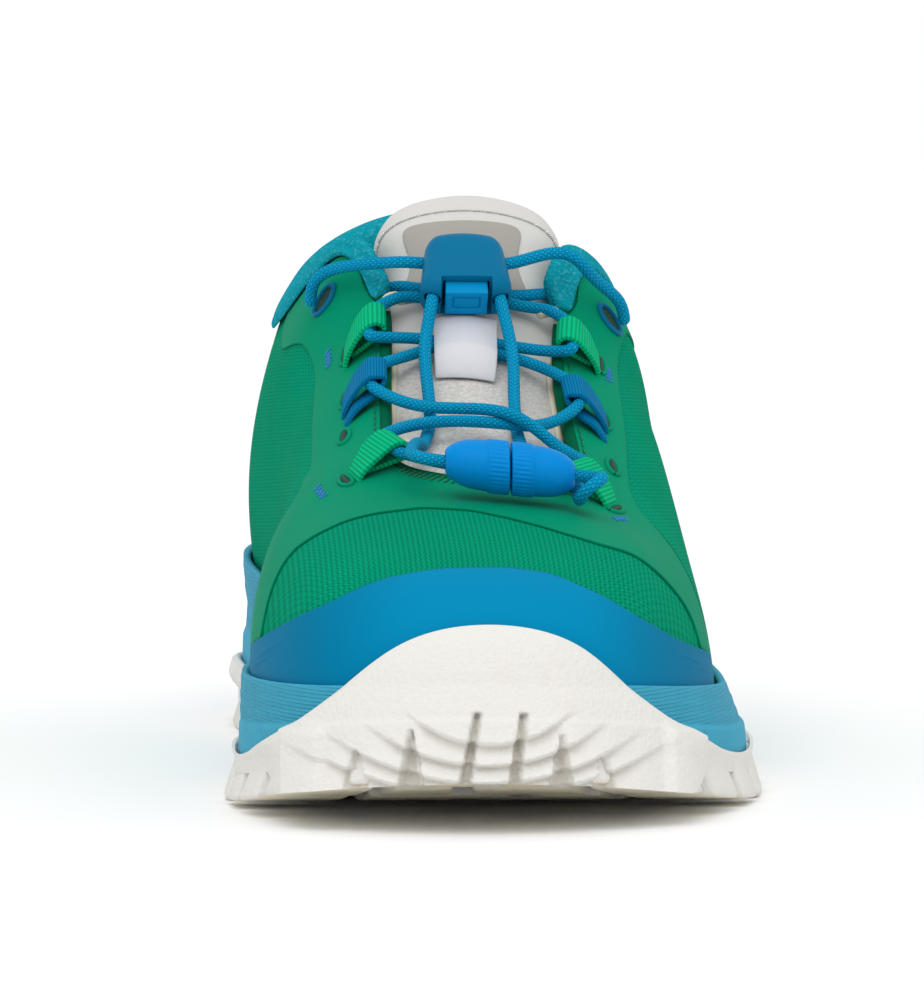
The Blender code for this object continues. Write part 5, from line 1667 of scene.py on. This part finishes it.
def make_stitches():
    """Blue bar tacks, and the green seam round the throat."""
    tacks = []
    step = np.linspace(-1.0, 1.0, 9)
    zig = np.where(np.arange(9) % 2 == 0, 0.8, -0.8)
    for s, t, reach in TACKS:
        pace, rise = paces(s, t)
        route = skin(s + reach * step / pace, t + zig / rise, FILM_FACE + 0.1)
        tacks.append(tube("tack", route, 0.2, 6, 0.2)[0])
    dress(join("bar_tacks", tacks), blue_thread)
    stitches = []
    slant = ((0.0, 0.972), (0.05, 0.982), (0.1, 0.992))
    for row in np.arange(-3.4, 3.41, 0.24):
        points = [skin(row + d, t, FILM_FACE + 0.15) for d, t in slant]
        stitches.append(tube("stitch", points, 0.26, 6, 0.4)[0])
    for way in (1.0, -1.0):
        for row in np.arange(4.8, 8.6, 0.16):
            if min(abs(row - r[2]) for r in LOOP_ROWS) > 0.3:
                points = [skin(way * (row + d), 0.968, FILM_FACE + 0.12) for d in (0.0, 0.05, 0.1)]
                stitches.append(tube("stitch", points, 0.22, 6, 0.5)[0])
    dress(join("throat_stitches", stitches), green_thread)


def make_throat_edge():
    """Foam that curls out at the throat's top corners, and the binding along its edge."""
    bend = [(0.2, -1.6), (0.9, -0.5), (2.0, 0.2), (3.2, -0.2), (4.0, -1.4)]
    curls = []
    for s in (8.72, -8.72):
        curls.append(tube("curl", [throat_point(s, *spot, 0.0) for spot in bend], 1.15, 10, 0.5)[0])
    dress(join("foam_curls", curls), cream_foam)
    rim = tube("throat_binding", skin(np.arange(-9.0, 9.01, 0.15), 0.999, -0.4), 1.25, 10, 0.9)[0]
    dress(rim, rim_green)


def make_slots():
    """Slots for the lace at the collar's front corners: a rolled rim round a well filled with painted
    shadow.
    """
    for name, s in zip(("slot_medial", "slot_lateral"), SLOT_ROWS):
        pace, rise = paces(s, SLOT_SHARE)

        def oval(long, wide, turn, lift):
            return skin(s + wide * np.sin(turn) / pace, SLOT_SHARE + long * np.cos(turn) / rise, lift)

        def rim(u, v):
            reach = 0.55 * np.cos(TAU * u)
            lift = FILM_FACE + 0.2 + 0.5 * np.sin(TAU * u)
            return oval(SLOT_LONG + reach, SLOT_WIDE + reach, TAU * v, lift)

        def well(u, v):
            return oval(SLOT_LONG * 0.9 * u, SLOT_WIDE * 0.9 * u, TAU * v, FILM_FACE + 0.12 + 0.0 * u)
        ring = grid_piece(name + "_rim", 12, 48, rim, lambda u, v, p: (u * 4.0, v * 20.0))
        join_seams(ring, True)
        dress(ring, lock_plastic, [name])
        made = grid_piece(name + "_well", 3, 32, well, lambda u, v, p: (u, v))
        dress(made, painted_slit_shadow)


# Cord lock and barrel

def lock_block(name, low, high):
    """A block between two corners on the lock's own axes."""
    bpy.ops.object.select_all(action="DESELECT")
    bpy.ops.mesh.primitive_cube_add(size=1.0)
    made = bpy.context.active_object
    made.name = name
    made.data.name = name
    for vert in made.data.vertices:
        vert.co = [(a + (b - a) * (c + 0.5)) * MM for a, b, c in zip(low, high, vert.co)]
    return made


def lock_bore(start, end, radius):
    """A round cutter between two points of the lock's axes."""
    start = np.array(start)
    end = np.array(end)
    bpy.ops.object.select_all(action="DESELECT")
    bpy.ops.mesh.primitive_cylinder_add(vertices=24, radius=1.0, depth=1.0)
    made = bpy.context.active_object
    axis = unit(end - start)
    other = unit(np.cross(axis, UP))
    third = np.cross(axis, other)
    for vert in made.data.vertices:
        x, y, z = vert.co
        vert.co = (start + (z + 0.5) * (end - start) + radius * (x * other + y * third)) * MM
    return made


def set_on_lock(made):
    """Move a piece from the lock's own axes to its place on the shoe."""
    for vert in made.data.vertices:
        vert.co = on_lock(*(c / MM for c in vert.co)) * MM


def cut(made, tool):
    """Take one piece away from another."""
    shape(made, "BOOLEAN", operation="DIFFERENCE", solver="EXACT", object=tool)
    bpy.data.objects.remove(tool, do_unlink=True)


def make_lock():
    """Housing with rounded edges, a pocket and four cord bores, and the button that slides in it."""
    half = 0.5 * LOCK_WIDE
    tall = 0.5 * LOCK_TALL
    thick = 0.5 * LOCK_THICK
    wide = 0.5 * BUTTON_WIDE
    deep = 0.5 * BUTTON_TALL
    housing = lock_block("lock_body", (-1.0, -1.0, -1.0), (1.0, 1.0, 1.0))
    pick(housing)
    bpy.ops.object.mode_set(mode="EDIT")
    bpy.ops.mesh.select_all(action="SELECT")
    bpy.ops.mesh.subdivide(number_cuts=17)
    bpy.ops.object.mode_set(mode="OBJECT")
    size = np.array((half, tall, thick))
    for vert in housing.data.vertices:
        point = np.array(vert.co) / MM * size
        core = np.clip(point, LOCK_ROUND - size, size - LOCK_ROUND)
        away = point - core
        x, y, z = core + LOCK_ROUND * away / max(np.linalg.norm(away), 1e-9)
        share = 0.5 + 0.5 * y / tall
        x *= 1.0 - 0.20 * share
        y += (2.4 * share ** 2 - 0.5 * (1.0 - share) ** 2) * (1.0 - (x / half) ** 2)
        z += 0.5 * (1.0 - (x / half) ** 2) * (z > 0.0)
        vert.co = (x * MM, y * MM, z * MM)
    coat(housing, lock_plastic, recess_shade_plastic)
    mouth = lock_block("mouth", (-wide - GAP - 0.5, -tall - 3.0, BUTTON_UP - deep - GAP - 0.4),
                       (wide + GAP + 0.5, -tall + 2.2, BUTTON_UP + deep + GAP + 2.0))
    cut(housing, mouth)
    pocket = lock_block("pocket", (-wide - GAP, -tall - 3.0, BUTTON_UP - deep - GAP),
                        (wide + GAP, BUTTON_FLOOR, BUTTON_UP + deep + GAP))
    # The pocket's faces carry the painted shade into the housing's recess.
    coat(pocket, recess_shade_plastic)
    cut(housing, pocket)
    for way in (-1.0, 1.0):
        x, z = TAIL_BORE
        cut(housing, lock_bore((way * x, -tall - 3.0, z), (way * x, -2.6, z), LOCK_BORE))
        y, z = LEVEL_BORE
        cut(housing, lock_bore((way * (half + 2.0), y, z), (way * 3.4, y, z), LOCK_BORE))
    soften(housing, 0.28, 2, 48)
    set_on_lock(housing)
    dress(housing, None, ["lock_housing"], angle=35)
    button = lock_block("lock_button_cap", (-wide, -tall - BUTTON_PROUD, BUTTON_UP - deep),
                        (wide, BUTTON_FLOOR - GAP - BUTTON_TRAVEL, BUTTON_UP + deep))
    pick(button)
    bpy.ops.object.mode_set(mode="EDIT")
    bpy.ops.mesh.select_mode(type="FACE")
    bpy.ops.mesh.select_all(action="DESELECT")
    bpy.ops.object.mode_set(mode="OBJECT")
    for face in button.data.polygons:
        face.select = face.normal.y < -0.9
    bpy.ops.object.mode_set(mode="EDIT")
    for thickness, depth in ((1.25, 0.0), (0.22, -0.6), (0.22, 0.5)):
        bpy.ops.mesh.inset(thickness=thickness * MM, depth=depth * MM)
    bpy.ops.object.mode_set(mode="OBJECT")
    soften(button, 0.3, 3, 40)
    set_on_lock(button)
    dress(button, button_plastic, ["lock_button"], "lock_button", 40)


def make_barrel():
    """Two turned halves that meet at the middle, ribbed round their joint."""
    last = len(BARREL_HALF) - 1
    xs, shares = zip(*BARREL_HALF)
    stops = np.linspace(0.0, last, 4 * last + 1)
    for name, way in (("barrel_medial", -1.0), ("barrel_lateral", 1.0)):

        def place(u, v):
            k = stops[np.rint(v * 4 * last).astype(int)]
            x = np.interp(k, np.arange(last + 1), xs)
            r = np.interp(k, np.arange(last + 1), shares) * BARREL_ROUND
            ribs = 0.14 * np.abs(np.sin(u * math.pi * BARREL_RIBS)) ** 0.7 - 0.1
            zone = smooth((x - 0.3) / 0.3) * smooth((4.1 - x) / 0.3) * (k < 4.2)
            return barrel_point(way * x, r + ribs * zone, u * TAU)
        made = grid_piece(name + "_shell", 6 * BARREL_RIBS, 4 * last, place,
                          lambda u, v, p: (u * 30.0, v * 12.0))
        join_seams(made, True)
        dress(made, barrel_plastic, [name], angle=40)


set_stage()
make_cords()
make_lace()
make_upper()
make_film()
make_cap()
make_collar()
make_midsole()
make_outsole()
make_insole()
make_tongue()
make_tongue_bands()
make_loops()
make_slits()
make_stitches()
make_throat_edge()
make_slots()
make_lock()
make_barrel()
